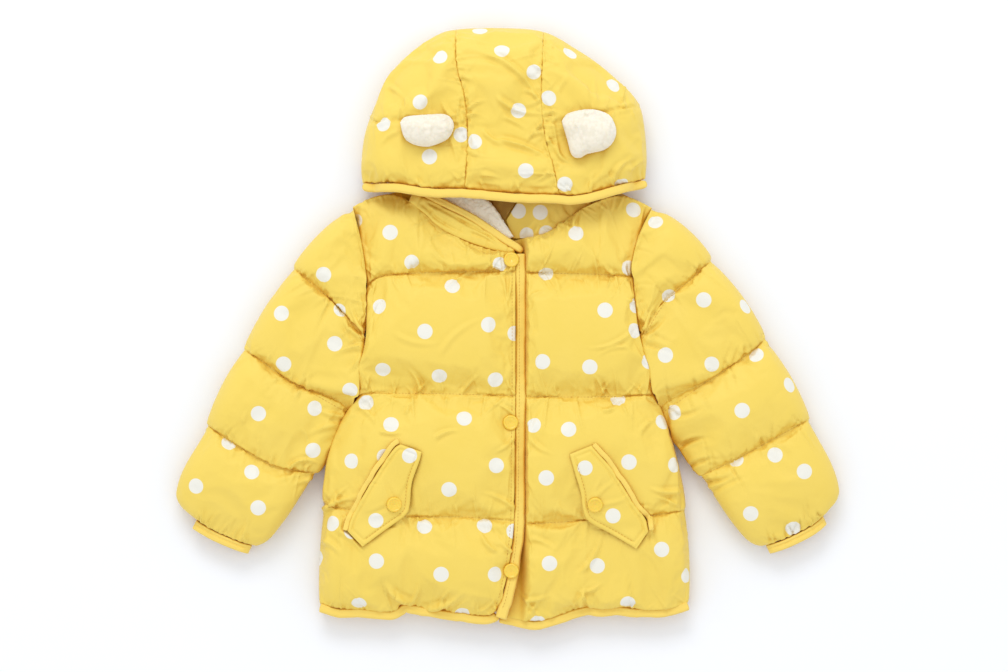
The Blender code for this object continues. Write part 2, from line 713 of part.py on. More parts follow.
def hood():
    """The three panels that show, the half folded under them, and the two ears."""
    gap = Vector((SEAM_GAP, 0))
    seams = [smooth(HOOD_RIGHT_SEAM), smooth(HOOD_LEFT_SEAM)]
    ends = len(HOOD_OUTLINE) - 1, len(FACE_EDGE) - 1
    corners = CROWN_CORNERS
    side = stretch(hood_outline, 0, corners[0])[::-1]
    seam = [p - gap for p in seams[0]]
    top = [*stretch(hood_outline, corners[0], corners[1])[:-1], seam[0]]
    bottom = [*stretch(face_edge, 0, SEAM_FEET[0])[:-1], seam[-1]]
    hood_panel("hood_right", (side, seam, top, bottom), (False, True), (186, 184))
    top = stretch(hood_outline, corners[1], corners[2])
    bottom = stretch(face_edge, *SEAM_FEET)
    hood_panel("hood_center", (*seams, top, bottom), (True, True))
    side = stretch(hood_outline, corners[3], ends[0])
    seam = [p + gap for p in seams[1]]
    top = [seam[0], *stretch(hood_outline, corners[2], corners[3])[1:]]
    bottom = [seam[-1], *stretch(face_edge, SEAM_FEET[1], ends[1])[1:]]
    hood_panel("hood_left", (seam, side, top, bottom), (True, False), (182, 200))
    hood_under()
    ear("ear_right", "hood_right", (-73.5, 177), (25, 16), -0.1, 17.0)
    ear("ear_left", "hood_left", (71, 174), (24, 22), 0.2, 19.0)


# ---------------------------------------------------------------- neck

# Lower hood corners that close round the throat: neck seam below, free edge above
RIGHT_COLLAR_SEAM = ((-90, 117), (-76, 105.5), (-61, 93.5), (-39, 82), (-19, 75.5), (-8, 72.7), (-1, 71.4))
RIGHT_COLLAR_EDGE = (
    (-86, 120.5), (-67, 109.3), (-47, 100.3), (-28.5, 91), (-16, 84.5), (-5.5, 78), (1, 74.4),
)
# Where the tape on that edge ends, above the placket's top
RIGHT_COLLAR_TIP = (6.5, 71.4)
LEFT_COLLAR_SEAM = ((3, 83), (12, 84), (22, 85.5), (34, 89.5), (48, 98.5), (61, 107.5), (75, 115.5))
LEFT_COLLAR_EDGE = ((-2.6, 97.5), (5.5, 111), (13, 121), (26, 122.5), (42, 122.5), (58, 122), (72, 121.5))
LEFT_TURNED_EDGE = ((-5.5, 95.5), (-10, 103), (-15, 112), (-18, 124))
FLEECE_LOWER = ((-66, 112), (-40, 104), (-24, 94.5), (-11, 86.5), (0, 81))
FLEECE_UPPER = ((-66, 122), (-45, 121), (-28, 119), (-15, 112), (4, 83))
COLLAR_LOW = 16.6
FLEECE_BOTTOM = COLLAR_LOW + SEAM_GAP
FLEECE_TOP = FLEECE_BOTTOM + 4.0
COLLAR_BOTTOM = FLEECE_TOP + SEAM_GAP


def laid_patch(name, lower, upper, bottom, top, finish_material, rows=4, columns=9, roll=5.0):
    """A soft patch between two edges, from one height function to another, with rolled edges."""
    low, high = smooth(lower), smooth(upper)
    outer, inner = [], []
    for r in range(rows + 1):
        v = r / rows
        shown, hidden = [], []
        for c in range(columns + 1):
            share = c / columns
            p = point_at(low, share).lerp(point_at(high, share), v)
            width = (point_at(high, share) - point_at(low, share)).length
            to_edge = min(min(v, 1 - v) * width, min(share, 1 - share) * 80.0)
            base, crown = bottom(p.x, p.y), top(p.x, p.y)
            rise = (crown - base - 1.2) * (0.35 + 0.65 * rounded(to_edge, roll))
            shown.append(Vector((p.x, p.y, base + 1.2 + rise)))
            hidden.append(Vector((p.x, p.y, base)))
        outer.append(shown)
        inner.append(hidden)
    return wall(name, outer, inner, finish_material)


def collar_pieces():
    laid_patch(
        "collar_left", LEFT_COLLAR_SEAM, LEFT_COLLAR_EDGE,
        bottom=lambda x, y: INSIDE,
        top=lambda x, y: COLLAR_LOW + 6.5 * ease((x - 8) / 18),
        finish_material=shell_cloth(),
    )
    laid_patch(
        "collar_binding_left", LEFT_TURNED_EDGE,
        [Vector(p) - Vector((1.2, -0.6)) for p in LEFT_COLLAR_EDGE[:3]],
        bottom=lambda x, y: INSIDE,
        top=lambda x, y: COLLAR_LOW - 0.4,
        finish_material=mustard_tape(),
        rows=3,
        columns=5,
        roll=2.0,
    )
    laid_patch(
        "hood_fleece", FLEECE_LOWER, FLEECE_UPPER,
        bottom=lambda x, y: FLEECE_BOTTOM,
        top=lambda x, y: FLEECE_TOP,
        finish_material=cream_fleece(),
        rows=3,
        roll=3.0,
    )
    laid_patch(
        "collar_right", RIGHT_COLLAR_SEAM, RIGHT_COLLAR_EDGE,
        bottom=lambda x, y: COLLAR_BOTTOM,
        top=lambda x, y: COLLAR_BOTTOM + 6.5,
        finish_material=shell_cloth(),
        rows=4,
    )


# ---------------------------------------------------------------- bindings


def tape(name, points, width, bottom, top, rings=24, last=1.0):
    """A bound edge: a soft flat tube of mustard tape along a line, from its middle line's points."""
    line = smooth(points)
    sides = ((-1, 0.35), (-1, 0.7), (-0.6, 1), (0.6, 1), (1, 0.7), (1, 0.35), (0.6, 0), (-0.6, 0))
    made = []
    for k in range(rings + 1):
        share = last * k / rings
        p = point_at(line, share)
        ahead = point_at(line, min(share + 0.01, 1)) - point_at(line, max(share - 0.01, 0))
        across = Vector((ahead.y, -ahead.x)).normalized()
        ring = []
        for side, level in sides:
            q = p + across * side * width / 2
            low, high = bottom(q.x, q.y), top(q.x, q.y)
            ring.append(Vector((q.x, q.y, low + (high - low) * level)))
        made.append(ring)
    return rod(name, made, mustard_tape())


def beside(points, offset):
    """The same line moved sideways by a distance, to its left as it runs."""
    line = smooth(points)
    moved = []
    for k in range(len(points) * 3):
        share = k / (len(points) * 3 - 1)
        ahead = point_at(line, min(share + 0.01, 1)) - point_at(line, max(share - 0.01, 0))
        moved.append(point_at(line, share) + Vector((-ahead.y, ahead.x)).normalized() * offset)
    return moved


def bindings():
    aside = TAPE_WIDTH / 2 + 0.6
    placket_aside = PLACKET_TAPE_WIDTH / 2 + 0.6
    hem_aside = HEM_TAPE_WIDTH / 2 + 0.9
    tape(
        "placket_binding", beside([*edges["placket"], PLACKET_FOOT], placket_aside), PLACKET_TAPE_WIDTH,
        lambda x, y: OVERLAP_INSIDE,
        lambda x, y: PLACKET_HEIGHT + 1.5,
        rings=36,
    )
    tape(
        "hem_binding_right", beside(edges["hem_right"], -hem_aside), HEM_TAPE_WIDTH,
        lambda x, y: INSIDE + 0.4,
        lambda x, y: HEM_HEIGHT + 2.5,
        rings=30, last=0.945,
    )
    tape(
        "hem_binding_left", beside(edges["hem_left"], -hem_aside), HEM_TAPE_WIDTH,
        lambda x, y: INSIDE + 0.4,
        lambda x, y: UNDERLAP_TOP - 0.4 + 2.8 * ease((x - 6) / 12),
        rings=34,
    )
    tape(
        "hem_binding_back", beside(edges["hem_back"], -hem_aside),
        HEM_TAPE_WIDTH,
        lambda x, y: 2.0,
        lambda x, y: BACK_THICKNESS - 1.0,
        rings=20,
    )
    tape(
        "hood_binding", beside(FACE_EDGE, -aside), TAPE_WIDTH,
        lambda x, y: hood_inside(x, 132) + SEAM_GAP,
        lambda x, y: hood_inside(x, 132) + 7.0,
        rings=40,
    )
    tape(
        "collar_binding_right",
        beside([*RIGHT_COLLAR_EDGE[1:], RIGHT_COLLAR_TIP], COLLAR_TAPE_WIDTH / 2 + 0.6), COLLAR_TAPE_WIDTH,
        lambda x, y: COLLAR_BOTTOM,
        lambda x, y: COLLAR_BOTTOM + 7.0,
        rings=16,
    )


# ---------------------------------------------------------------- pockets and press studs

# Slanted flaps: the sewn edge along the pocket's mouth, then the free edge
RIGHT_POCKET = (
    ((-97, -103), (-104, -108), (-119, -130), (-135, -157), (-142, -170), (-145, -181)),
    ((-78, -110), (-80, -118), (-87, -138), (-89, -158), (-93, -167), (-112, -181), (-131, -195)),
)
LEFT_POCKET = (
    ((74, -104), (92, -125), (105, -145), (113, -158), (122, -170), (125, -181)),
    ((54, -112), (58, -126), (64, -146), (66, -160), (71, -172), (92, -184), (114, -197)),
)
POCKET_STUDS = ((-103, -157), (77, -157))
WELT_WIDTH = 4.6


def flap(name, on, sewn_edge, free_edge):
    """A pocket flap that lies on its front, made from the front's own surface moved up."""
    sewn, free = smooth(sewn_edge), smooth(free_edge)
    rows, columns = 8, 12
    inner = []
    for r in range(rows + 1):
        v = r / rows
        line = []
        for c in range(columns + 1):
            p = point_at(sewn, c / columns).lerp(point_at(free, c / columns), v)
            line.append(Vector((p.x, p.y, height_on((on,), p.x, p.y) + LAID_GAP)))
        inner.append(line)
    keep_clear(inner, lambda x, y: height_on((on,), x, y) + LAID_GAP, 1)
    outer = []
    for r, row in enumerate(inner):
        width = (row[0] - row[-1]).length
        shown = []
        for c, p in enumerate(row):
            across = (inner[-1][c] - inner[0][c]).length * min(r, rows - r) / rows
            along = width * min(c, columns - c) / columns
            thickness = FLAP_THICKNESS * (0.55 + 0.45 * rounded(min(across, along), 5.0))
            shown.append(p + Vector((0, 0, thickness)))
        outer.append(shown)
    return wall(name, outer, inner, shell_cloth(), flat_faces_joined=False)


def welt(name, on, edge):
    """The narrow piped lip of the pocket's mouth, beside the flap's sewn edge."""
    side = 1 if edge[0][0] < 0 else -1
    return tape(
        name, beside(edge, -side * (WELT_WIDTH / 2 + 0.8)), WELT_WIDTH,
        lambda x, y: height_on((on,), x, y, reach=3.0) + LAID_GAP,
        lambda x, y: height_on((on,), x, y, reach=3.0) + LAID_GAP + 3.2,
        rings=16,
    )


def press_stud(name, on, x, y):
    """A moulded stud cap: a turned profile with a low rim, square to the cloth under it."""
    west, east, south, north = (
        Vector((x + dx, y + dy, height_on(on, x + dx, y + dy, reach=0.8)))
        for dx, dy in ((-4, 0), (4, 0), (0, -4), (0, 4))
    )
    normal = (east - west).cross(north - south).normalized()
    centre = Vector((x, y, height_on(on, x, y, reach=0.8)))
    turns = [math.tau * k / 24 for k in range(24)]
    rims = [(r * math.cos(a), r * math.sin(a)) for a in turns for r in (SNAP_RADIUS * 0.5, SNAP_RADIUS)]
    under = [Vector((x + dx, y + dy, height_on(on, x + dx, y + dy))) for dx, dy in rims]
    seat = centre + normal * (max(0.0, *((p - centre).dot(normal) for p in under)) + 0.5)
    profile = (
        (0, SNAP_HEIGHT - 0.3), (SNAP_RADIUS * 0.7, SNAP_HEIGHT - 0.4), (SNAP_RADIUS * 0.8, SNAP_HEIGHT),
        (SNAP_RADIUS * 0.93, SNAP_HEIGHT - 0.2), (SNAP_RADIUS, SNAP_HEIGHT * 0.5), (SNAP_RADIUS, 0), (0, 0),
    )
    mesh = bpy.data.meshes.new(name)
    bm = bmesh.new()
    verts = [bm.verts.new((r * MM, 0, z * MM)) for r, z in profile]
    for a, b in zip(verts, verts[1:]):
        bm.edges.new((a, b))
    bm.to_mesh(mesh)
    bm.free()
    mesh.materials.append(snap_plastic())
    piece = bpy.data.objects.new(name, mesh)
    jacket.objects.link(piece)
    turn = piece.modifiers.new("Turned", "SCREW")
    turn.steps = turn.render_steps = SNAP_SIDES
    turn.use_merge_vertices = True
    turn.merge_threshold = 0.00001
    piece.location = (seat - TABLE_POINT) * MM
    piece.rotation_mode = "QUATERNION"
    piece.rotation_quaternion = normal.to_track_quat("Z", "Y")
    return piece


# ---------------------------------------------------------------- the jacket

for old in list(bpy.data.objects):
    bpy.data.objects.remove(old, do_unlink=True)
jacket = bpy.data.collections.new("puffer_jacket")
bpy.context.scene.collection.children.link(jacket)

hood_outline = smooth(HOOD_OUTLINE, CURVE_PIECES)
face_edge = smooth(FACE_EDGE, CURVE_PIECES)

back()
front_left()
front_right()
sleeve("sleeve_right", RIGHT_SLEEVE_SEAMS, RIGHT_SLEEVE_PUFFS, "side_right")
sleeve("sleeve_left", LEFT_SLEEVE_SEAMS, LEFT_SLEEVE_PUFFS, "side_left")
cuff("cuff_right", RIGHT_SLEEVE_SEAMS[-1], (-0.42, -0.9))
cuff("cuff_left", LEFT_SLEEVE_SEAMS[-1], (0.42, -0.9))
hood()
collar_pieces()
bindings()
for pocket_side, pocket in (("right", RIGHT_POCKET), ("left", LEFT_POCKET)):
    flap(f"pocket_flap_{pocket_side}", f"front_{pocket_side}", *pocket)
    welt(f"pocket_welt_{pocket_side}", f"front_{pocket_side}", pocket[0])
for number, (stud_x, stud_y) in enumerate(STUD_SEATS, start=1):
    press_stud(f"front_stud_{number}", ("front_right", "placket_binding"), stud_x, stud_y)
press_stud("pocket_stud_right", ("pocket_flap_right",), *POCKET_STUDS[0])
press_stud("pocket_stud_left", ("pocket_flap_left",), *POCKET_STUDS[1])
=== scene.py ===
import math
from contextlib import contextmanager

import bmesh
import bpy
import numpy as np
from mathutils import Matrix, Vector, noise
from mathutils.bvhtree import BVHTree
from mathutils.kdtree import KDTree


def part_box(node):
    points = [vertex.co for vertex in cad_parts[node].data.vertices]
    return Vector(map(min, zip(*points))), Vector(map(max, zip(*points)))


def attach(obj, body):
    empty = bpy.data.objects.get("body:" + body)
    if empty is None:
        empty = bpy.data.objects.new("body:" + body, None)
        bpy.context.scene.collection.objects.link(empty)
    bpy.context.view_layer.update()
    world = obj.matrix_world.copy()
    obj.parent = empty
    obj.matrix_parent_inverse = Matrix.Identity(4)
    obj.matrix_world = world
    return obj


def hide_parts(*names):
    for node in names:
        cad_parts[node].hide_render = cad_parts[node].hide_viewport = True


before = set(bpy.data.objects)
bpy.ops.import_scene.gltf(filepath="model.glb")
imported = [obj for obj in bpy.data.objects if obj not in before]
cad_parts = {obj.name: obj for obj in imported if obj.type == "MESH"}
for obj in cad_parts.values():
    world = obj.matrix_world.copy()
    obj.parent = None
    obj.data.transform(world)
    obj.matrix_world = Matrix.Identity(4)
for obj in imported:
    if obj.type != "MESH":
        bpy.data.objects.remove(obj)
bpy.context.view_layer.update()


# ------------------------------------------------------------------ the table it lies on
# A smooth white laminate table, lit by a big soft window from the hood's side. The camera
# hangs straight above it, and one picture pixel is 0.9 mm on the jacket.


def linear(hex_colour):
    """A colour written as #rrggbb in sRGB, as the linear colour that shaders take."""
    values = [int(hex_colour[i : i + 2], 16) / 255 for i in (1, 3, 5)]
    return [v / 12.92 if v <= 0.04045 else ((v + 0.055) / 1.055) ** 2.4 for v in values] + [1.0]


def new_finish(name):
    """A new material, with its node tree and its main shader."""
    made = bpy.data.materials.new(name)
    made.use_nodes = True
    return made, made.node_tree, made.node_tree.nodes["Principled BSDF"]


def node(tree, kind, links=(), sockets=(), **settings):
    """Adds a node: its settings, the values of its sockets, and links as (input, output)."""
    made = tree.nodes.new(kind)
    for key, value in settings.items():
        setattr(made, key, value)
    for key, value in dict(sockets).items():
        made.inputs[key].default_value = value
    for key, source in links:
        tree.links.new(source, made.inputs[key])
    return made


def put(name, bm):
    """Puts a finished mesh in the scene, as an object at the origin."""
    mesh = bpy.data.meshes.new(name)
    bm.to_mesh(mesh)
    bm.free()
    piece = bpy.data.objects.new(name, mesh)
    scene.collection.objects.link(piece)
    return piece


scene = bpy.context.scene
scene.view_settings.view_transform = "Standard"

CAMERA_REACH = 3.5
PICTURE_WIDTH = 0.9072
SENSOR_WIDTH = 36.0
TABLE_HALF = 4.0
# The table's face is a hair lower than the cloth, so that the two never flicker
TABLE_SINK = 0.0002

camera = bpy.data.objects.new("camera", bpy.data.cameras.new("camera"))
scene.collection.objects.link(camera)
camera.location = (-0.0033, -0.0051, CAMERA_REACH + 0.02)
camera.data.sensor_width = SENSOR_WIDTH
camera.data.lens = SENSOR_WIDTH * CAMERA_REACH / PICTURE_WIDTH
camera.data.clip_end = 20.0
scene.camera = camera

bm = bmesh.new()
bmesh.ops.create_grid(bm, x_segments=2, y_segments=2, size=TABLE_HALF)
bmesh.ops.translate(bm, vec=(0, 0, -TABLE_SINK), verts=bm.verts)
table = put("table", bm)
laminate, tree, shader = new_finish("white_laminate")
place = node(tree, "ShaderNodeTexCoord").outputs["Object"]
cloudy = node(tree, "ShaderNodeTexNoise", [("Vector", place)], {"Scale": 9.0, "Detail": 2.0})
toned = node(
    tree, "ShaderNodeMix", [(0, cloudy.outputs["Fac"])], {6: linear("#eef1f6"), 7: linear("#f0f3f8")},
    data_type="RGBA",
)
tree.links.new(toned.outputs[2], shader.inputs["Base Color"])
shader.inputs["Roughness"].default_value = 0.8
shader.inputs["Specular IOR Level"].default_value = 0.1
table.data.materials.append(laminate)

sky = bpy.data.worlds.new("studio")
scene.world = sky
sky.use_nodes = True
sky.node_tree.nodes["Background"].inputs["Color"].default_value = (1.0, 1.0, 1.0, 1.0)
sky.node_tree.nodes["Background"].inputs["Strength"].default_value = 1.0

window = bpy.data.lights.new("window", "AREA")
window.shape = "RECTANGLE"
window.size, window.size_y = 1.6, 1.0
window.energy = 24.0
holder = bpy.data.objects.new("window", window)
holder.location = (-0.35, 2.1, 1.9)
holder.rotation_euler = (-holder.location).to_track_quat("-Z", "Y").to_euler()
scene.collection.objects.link(holder)


# ------------------------------------------------------------------ shell cloth
# The outside cloth: thin plain-woven polyester, printed yellow with cream spots 13.5 mm across.
# It is calendered to keep the wadding in, which gives it a soft broken shine.

# Points in the tables below are in millimetres, from this point of the scene
MM = 0.001
TABLE_POINT = np.array([-1.2, -1.2, 0.0])
DOT_RADIUS = 6.75
DOT_BLUR = 0.3


def painted_fold_shade(tree, colour, reach=0.03, deep=(0.82, 0.56, 0.08, 1.0)):
    """A colour with painted shade: darkened and turned gold where ambient occlusion finds folds close round it,
    standing in for light that has come off yellow cloth.
    """
    open_to_light = node(tree, "ShaderNodeAmbientOcclusion", sockets={"Distance": reach}, samples=8)
    shallow = node(
        tree, "ShaderNodeMapRange", [("Value", open_to_light.outputs["AO"])], {"From Min": 0.2, "From Max": 0.78}
    )
    tint = node(
        tree, "ShaderNodeMix", [(0, shallow.outputs[0])], {6: deep, 7: (1.0, 1.0, 1.0, 1.0)}, data_type="RGBA"
    )
    shaded = node(
        tree, "ShaderNodeMix", [(6, colour), (7, tint.outputs[2])], {0: 1.0}, data_type="RGBA",
        blend_type="MULTIPLY",
    )
    return shaded.outputs[2]


shell, tree, shader = new_finish("printed_polyester")
place = node(tree, "ShaderNodeTexCoord").outputs["Object"]
dot = node(tree, "ShaderNodeAttribute", attribute_name="dot").outputs["Fac"]
patchy = node(tree, "ShaderNodeTexNoise", [("Vector", place)], {"Scale": 34.0, "Detail": 4.0})
yellow = node(
    tree, "ShaderNodeMix", [(0, patchy.outputs["Fac"])], {6: linear("#e8cb57"), 7: linear("#ebcf62")},
    data_type="RGBA",
)
printed = node(
    tree, "ShaderNodeMapRange", [("Value", dot)],
    {"From Min": DOT_RADIUS - DOT_BLUR, "From Max": DOT_RADIUS + DOT_BLUR, "To Min": 1.0, "To Max": 0.0},
)
cloth_colour = node(
    tree, "ShaderNodeMix", [(0, printed.outputs[0]), (6, yellow.outputs[2])], {7: linear("#e5e4db")},
    data_type="RGBA",
)
# Painted shade: the printed cloth is drawn darker and more golden in its folds.
tree.links.new(painted_fold_shade(tree, cloth_colour.outputs[2]), shader.inputs["Base Color"])
# Threads lie 0.25 mm apart in the real cloth, and are drawn at 1 mm so that they show
warp, weft = (
    node(
        tree, "ShaderNodeTexWave", [("Vector", place)], {"Scale": 320.0, "Distortion": 1.2},
        bands_direction=way,
    )
    for way in ("X", "Y")
)
weave = node(
    tree, "ShaderNodeMath", [(0, warp.outputs["Fac"]), (1, weft.outputs["Fac"])], operation="ADD"
)
cockled = node(tree, "ShaderNodeTexNoise", [("Vector", place)], {"Scale": 120.0, "Detail": 4.0, "Distortion": 0.6})
soft_bump = node(
    tree, "ShaderNodeBump", [("Height", cockled.outputs["Fac"])], {"Strength": 0.25, "Distance": 0.0012}
)
thread_bump = node(
    tree, "ShaderNodeBump", [("Height", weave.outputs[0]), ("Normal", soft_bump.outputs[0])],
    {"Strength": 0.15, "Distance": 0.0002},
)
tree.links.new(thread_bump.outputs[0], shader.inputs["Normal"])
shader.inputs["Roughness"].default_value = 0.56
shader.inputs["Specular IOR Level"].default_value = 0.35
shader.inputs["Sheen Weight"].default_value = 0.1


# ------------------------------------------------------------------ the two fronts
# Each front is four puffs: shell cloth on both sides of soft wadding, sewn through along the
# quilting lines. The wearer's right one closes over the left one's thin underlap.

INSIDE = 14.3
# The least thickness of padded cloth, at its edges
THIN = 1.2
EDGE_HEIGHT = 15.5
SEAM_HEIGHT = 26.0
NECK_HEIGHT = 26.0
HEM_HEIGHT = 18.5
PLACKET_HEIGHT = 28.5
UNDERLAP_TOP = 18.2
OVERLAP_INSIDE = 18.5
OVERLAP_X = -26.0
SIDE_ROUNDING = 28.0
SEAM_ROUNDING = 4.0
BESIDE_PLACKET = 27.5
RIGHT_SHOULDER = (-141, 110)
LEFT_SHOULDER = (129, 109)
# Quilting seams of the wearer's right front, from the side to the front edge
RIGHT_FRONT_SEAMS = (
    (
        RIGHT_SHOULDER, (-122, 119), (-103, 121), (-84, 111), (-61, 91), (-39, 80), (-19, 73), (-2, 69),
        (5.8, 68),
    ),
    ((-129, 38), (-117, 46), (-98, 49), (-60, 51), (5.8, 52)),
    ((-136, -61), (-122, -58), (-71, -58), (5.8, -60)),
    ((-166, -158), (-144, -162), (-92, -168), (-40, -169), (4.6, -172)),
    (
        (-170, -248), (-148, -252.5), (-114, -255), (-102, -253.5), (-94, -248), (-84, -250), (-60, -254.5),
        (-28, -258), (-16, -257), (-9, -249),
    ),
)
# Seams of the wearer's left front, from the front edge to the side
LEFT_FRONT_SEAMS = (
    ((15.2, 82), (34, 87), (48, 96), (61, 105), (75, 113), (91, 119), (108, 119), LEFT_SHOULDER),
    ((15.2, 51), (46, 50), (82, 49), (112, 47)),
    ((15.2, -61), (82, -61), (130, -59)),
    ((15.2, -175), (71, -172), (124, -168), (158, -163)),
    (
        (15.2, -263), (30, -262.5), (48, -257), (68, -251), (84, -252.5), (104, -251), (124, -253), (146, -251.5),
        (161, -247),
    ),
)
# How far each puff's outer and inner end stands out, where it is widest, and its rise
RIGHT_FRONT_PUFFS = (
    (-3.0, 0.0, 0.5, 11.0), (-4.0, 0.0, 0.5, 12.5), (9.0, 0.0, 0.45, 12.0), (2.5, 2.5, 0.5, 12.5)
)
LEFT_FRONT_PUFFS = (
    (0.0, -6.0, 0.5, 11.0), (0.0, -4.0, 0.45, 12.5), (0.0, 6.0, 0.45, 12.0), (0.0, 3.0, 0.5, 12.5)
)
UNDERLAP = ((-9, 76), (-10, 51), (-10, -61), (-10, -175), (-8, -258))
UNDERLAP_COLUMNS = 7
# Where the quilting stops short under a pocket flap, and where a press stud pulls the front down
POCKETS = ((-118, -163, 34), (98, -167, 34))
STUD_SEATS = ((1.5, 62), (1, -84), (2, -217))
STUD_DRAW = 12.0
STUD_HELD = 7.0
# Folds: x and y of the deep end and of the shallow end, sideways bow, depth, half width
RIGHT_FRONT_FOLDS = (
    (-168, -163, -136, -150, 2, 2.0, 3.6),
    (-160, -156, -142, -140, 1, 1.2, 2.6),
    (-166, -190, -150, -204, 2, 1.8, 4.0),
    (-152, -181, -128, -204, 2, 1.6, 3.6),
    (-92, -246, -112, -226, 3, 2.8, 4.5),
    (-90, -249, -80, -222, -3, 1.5, 3.2),
    (-74, -252, -40, -235, -4, 2.6, 4.2),
    (-62, -249, -50, -232, 2, 1.3, 2.4),
    (-26, -254, -12, -240, -2, 1.2, 2.4),
    (-13, -199, -26, -181, 2, 1.9, 3.4),
    (2, -200, -8, -188, 1, 1.4, 2.6),
    (3, -226, -8, -244, 1, 1.4, 2.6),
    (4, -160, -26, -146, -2, 1.3, 3.2),
    (-65, -97, -44, -91, 2, 1.5, 3.0),
    (-115, -92, -95, -93, -1, 1.4, 2.8),
    (-92, -75, -87, -62, 0, 1.1, 2.2),
    (-80, -57, -91, -35, -3, 2.2, 3.0),
    (-103, -57, -105, -45, 0, 1.2, 2.2),
    (-128, -54, -124, -40, 1, 1.3, 2.4),
    (-42, -57, -26, -40, 1, 1.5, 2.6),
    (5, -58, -3, -42, 1, 1.1, 2.2),
    (-60, -20, -20, 10, 5, 0.8, 4.0),
    (-100, -6, -60, -12, -4, 0.7, 4.0),
    (4, 56, -16, 46, 1, 1.2, 2.6),
    (2, 46, -3, 20, 1, 1.0, 2.2),
    (-59, 53, -62, 62, 0, 0.9, 1.8),
    (4, -98, -16, -112, 2, 1.2, 2.6),
    (4, -76, -14, -66, -1, 1.1, 2.4),
    (-134, -70, -118, -88, 2, 1.4, 3.6),
)
LEFT_FRONT_FOLDS = (
    (66, -217, 84, -178, -4, 1.5, 3.2),
    (64, -248, 70, -230, 1, 2.4, 3.6),
    (70, -236, 84, -228, -1, 1.3, 2.6),
    (16, -244, 36, -239, -1, 1.4, 3.0),
    (20, -256, 30, -240, 1, 1.2, 2.4),
    (128, -168, 118, -194, 2, 1.5, 3.2),
    (152, -146, 124, -142, 2, 1.8, 3.6),
    (150, -158, 130, -150, -1, 1.2, 2.6),
    (84, -73, 100, -66, -2, 1.3, 2.8),
    (100, -66, 106, -80, 1, 1.0, 2.2),
    (84, -58, 76, -42, -2, 1.9, 2.6),
    (84, -57, 92, -46, 1, 1.2, 2.2),
    (42, -57, 40, -50, 0, 1.2, 2.0),
    (24, -57, 22, -46, 0, 1.1, 2.0),
    (116, -57, 120, -48, 0, 1.2, 2.2),
    (106, -6, 68, -17, 4, 1.2, 2.8),
    (104, -16, 78, -26, -3, 0.9, 2.6),
    (112, 24, 104, 27, 0, 1.1, 2.2),
    (94, 49, 84, 59, 1, 1.2, 2.6),
    (58, 92, 61, 105, 1, 2.0, 2.6),
    (44, 90, 48, 102, 0, 1.3, 2.4),
    (20, 76, 26, 84, 1, 1.2, 2.4),
    (20, 30, 34, 34, 1, 0.8, 2.4),
    (20, -100, 40, -112, -2, 1.2, 3.0),
    (20, -188, 44, -200, 2, 1.1, 3.2),
    (118, -92, 134, -80, 2, 1.2, 3.2),
)
# Spots that show, where each is on the cloth
RIGHT_FRONT_DOTS = (
    (-137, 97), (-107, 86), (-87, 60), (-8, 58), (-51, 39), (-116, 20), (-75, -2), (-18, 4), (5, -4),
    (-113, -36), (-62, -42), (-12, -45), (-128, -66), (-106, -85), (-40, -80), (-141, -118), (-11, -122),
    (-54, -144), (-159, -175), (-76, -177, 3), (-22, -176.5, 3), (4, -182), (-119, -208), (-61, -220),
    (-13, -220), (-170, -207), (-135, -247), (-42, -256), (-111, -114), (-142, -182),
)
LEFT_FRONT_DOTS = (
    (33, 49), (112, 107), (60, 86), (107, 55), (86, 17), (112, -2), (72, -34), (124.5, -29), (30, -29),
    (98, -63, 2), (22, -86), (53, -90), (138, -84), (107, -119), (33, -133), (137, -198), (36, -210),
    (79, -213), (160, -222), (107, -246), (26, -264), (149, -122), (121, 20),
)


def curve(points, pieces=24):
    """A smooth curve through a few points, as close points (Catmull-Rom)."""
    p = np.array([points[0], *points, points[-1]], float)
    t = np.linspace(0, 1, pieces, endpoint=False)[:, None]
    spans = [
        0.5 * (2 * b + (c - a) * t + (2 * a - 5 * b + 4 * c - d) * t**2 + (3 * b - a - 3 * c + d) * t**3)
        for a, b, c, d in zip(p, p[1:], p[2:], p[3:])
    ]
    return np.vstack([*spans, p[-1:]])


def lengths(line):
    """How far along a line each of its points is."""
    return np.concatenate([[0], np.cumsum(np.linalg.norm(np.diff(line, axis=0), axis=1))])


def at(line, shares):
    """The points at some shares, 0 to 1, of a line's length."""
    along = lengths(line)
    reach = np.asarray(shares) * along[-1]
    return np.stack([np.interp(reach, along, line[:, k]) for k in range(line.shape[1])], -1)


def distance_to(points, line):
    """How far points in the plane are from a line."""
    flat = points.reshape(-1, 2)
    best = np.full(len(flat), np.inf)
    thin = line[::3] if len(line) > 90 else line
    for a, b in zip(thin, [*thin[1:], line[-1]]):
        d = b - a
        t = np.clip((flat - a) @ d / max(d @ d, 1e-9), 0, 1)
        best = np.minimum(best, np.linalg.norm(flat - a - t[:, None] * d, axis=1))
    return best.reshape(points.shape[:-1])


def spread(count, tight=0.3):
    """Shares from 0 to 1, closer together at both ends."""
    t = np.linspace(0, 1, count)
    return (1 - tight) * t + tight * (0.5 - 0.5 * np.cos(np.pi * t))


def rounded(distance, radius):
    """0 at an edge and 1 from one radius in, rising as steeply as a quarter circle."""
    t = np.clip(distance / radius, 0, 1)
    return np.maximum(1 - (1 - t) ** 3, 0) ** 0.6


def ease(t):
    """0 up to 0 and 1 from 1 on, with a smooth step between."""
    t = np.clip(t, 0, 1)
    return t * t * (3 - 2 * t)


def puff(v):
    """The padding between two quilting seams: a creased valley at each, a crown between."""
    return np.maximum(np.sin(np.pi * v), 0) ** 0.42


def belly(v, peak):
    """How far the side of a puff stands out, 0 at its seams and 1 at the peak."""
    after = np.sqrt(np.maximum(1 - (np.maximum(v - peak, 0) / (1 - peak)) ** 2, 0))
    return np.where(v < peak, np.sin(np.pi / 2 * v / peak), after)


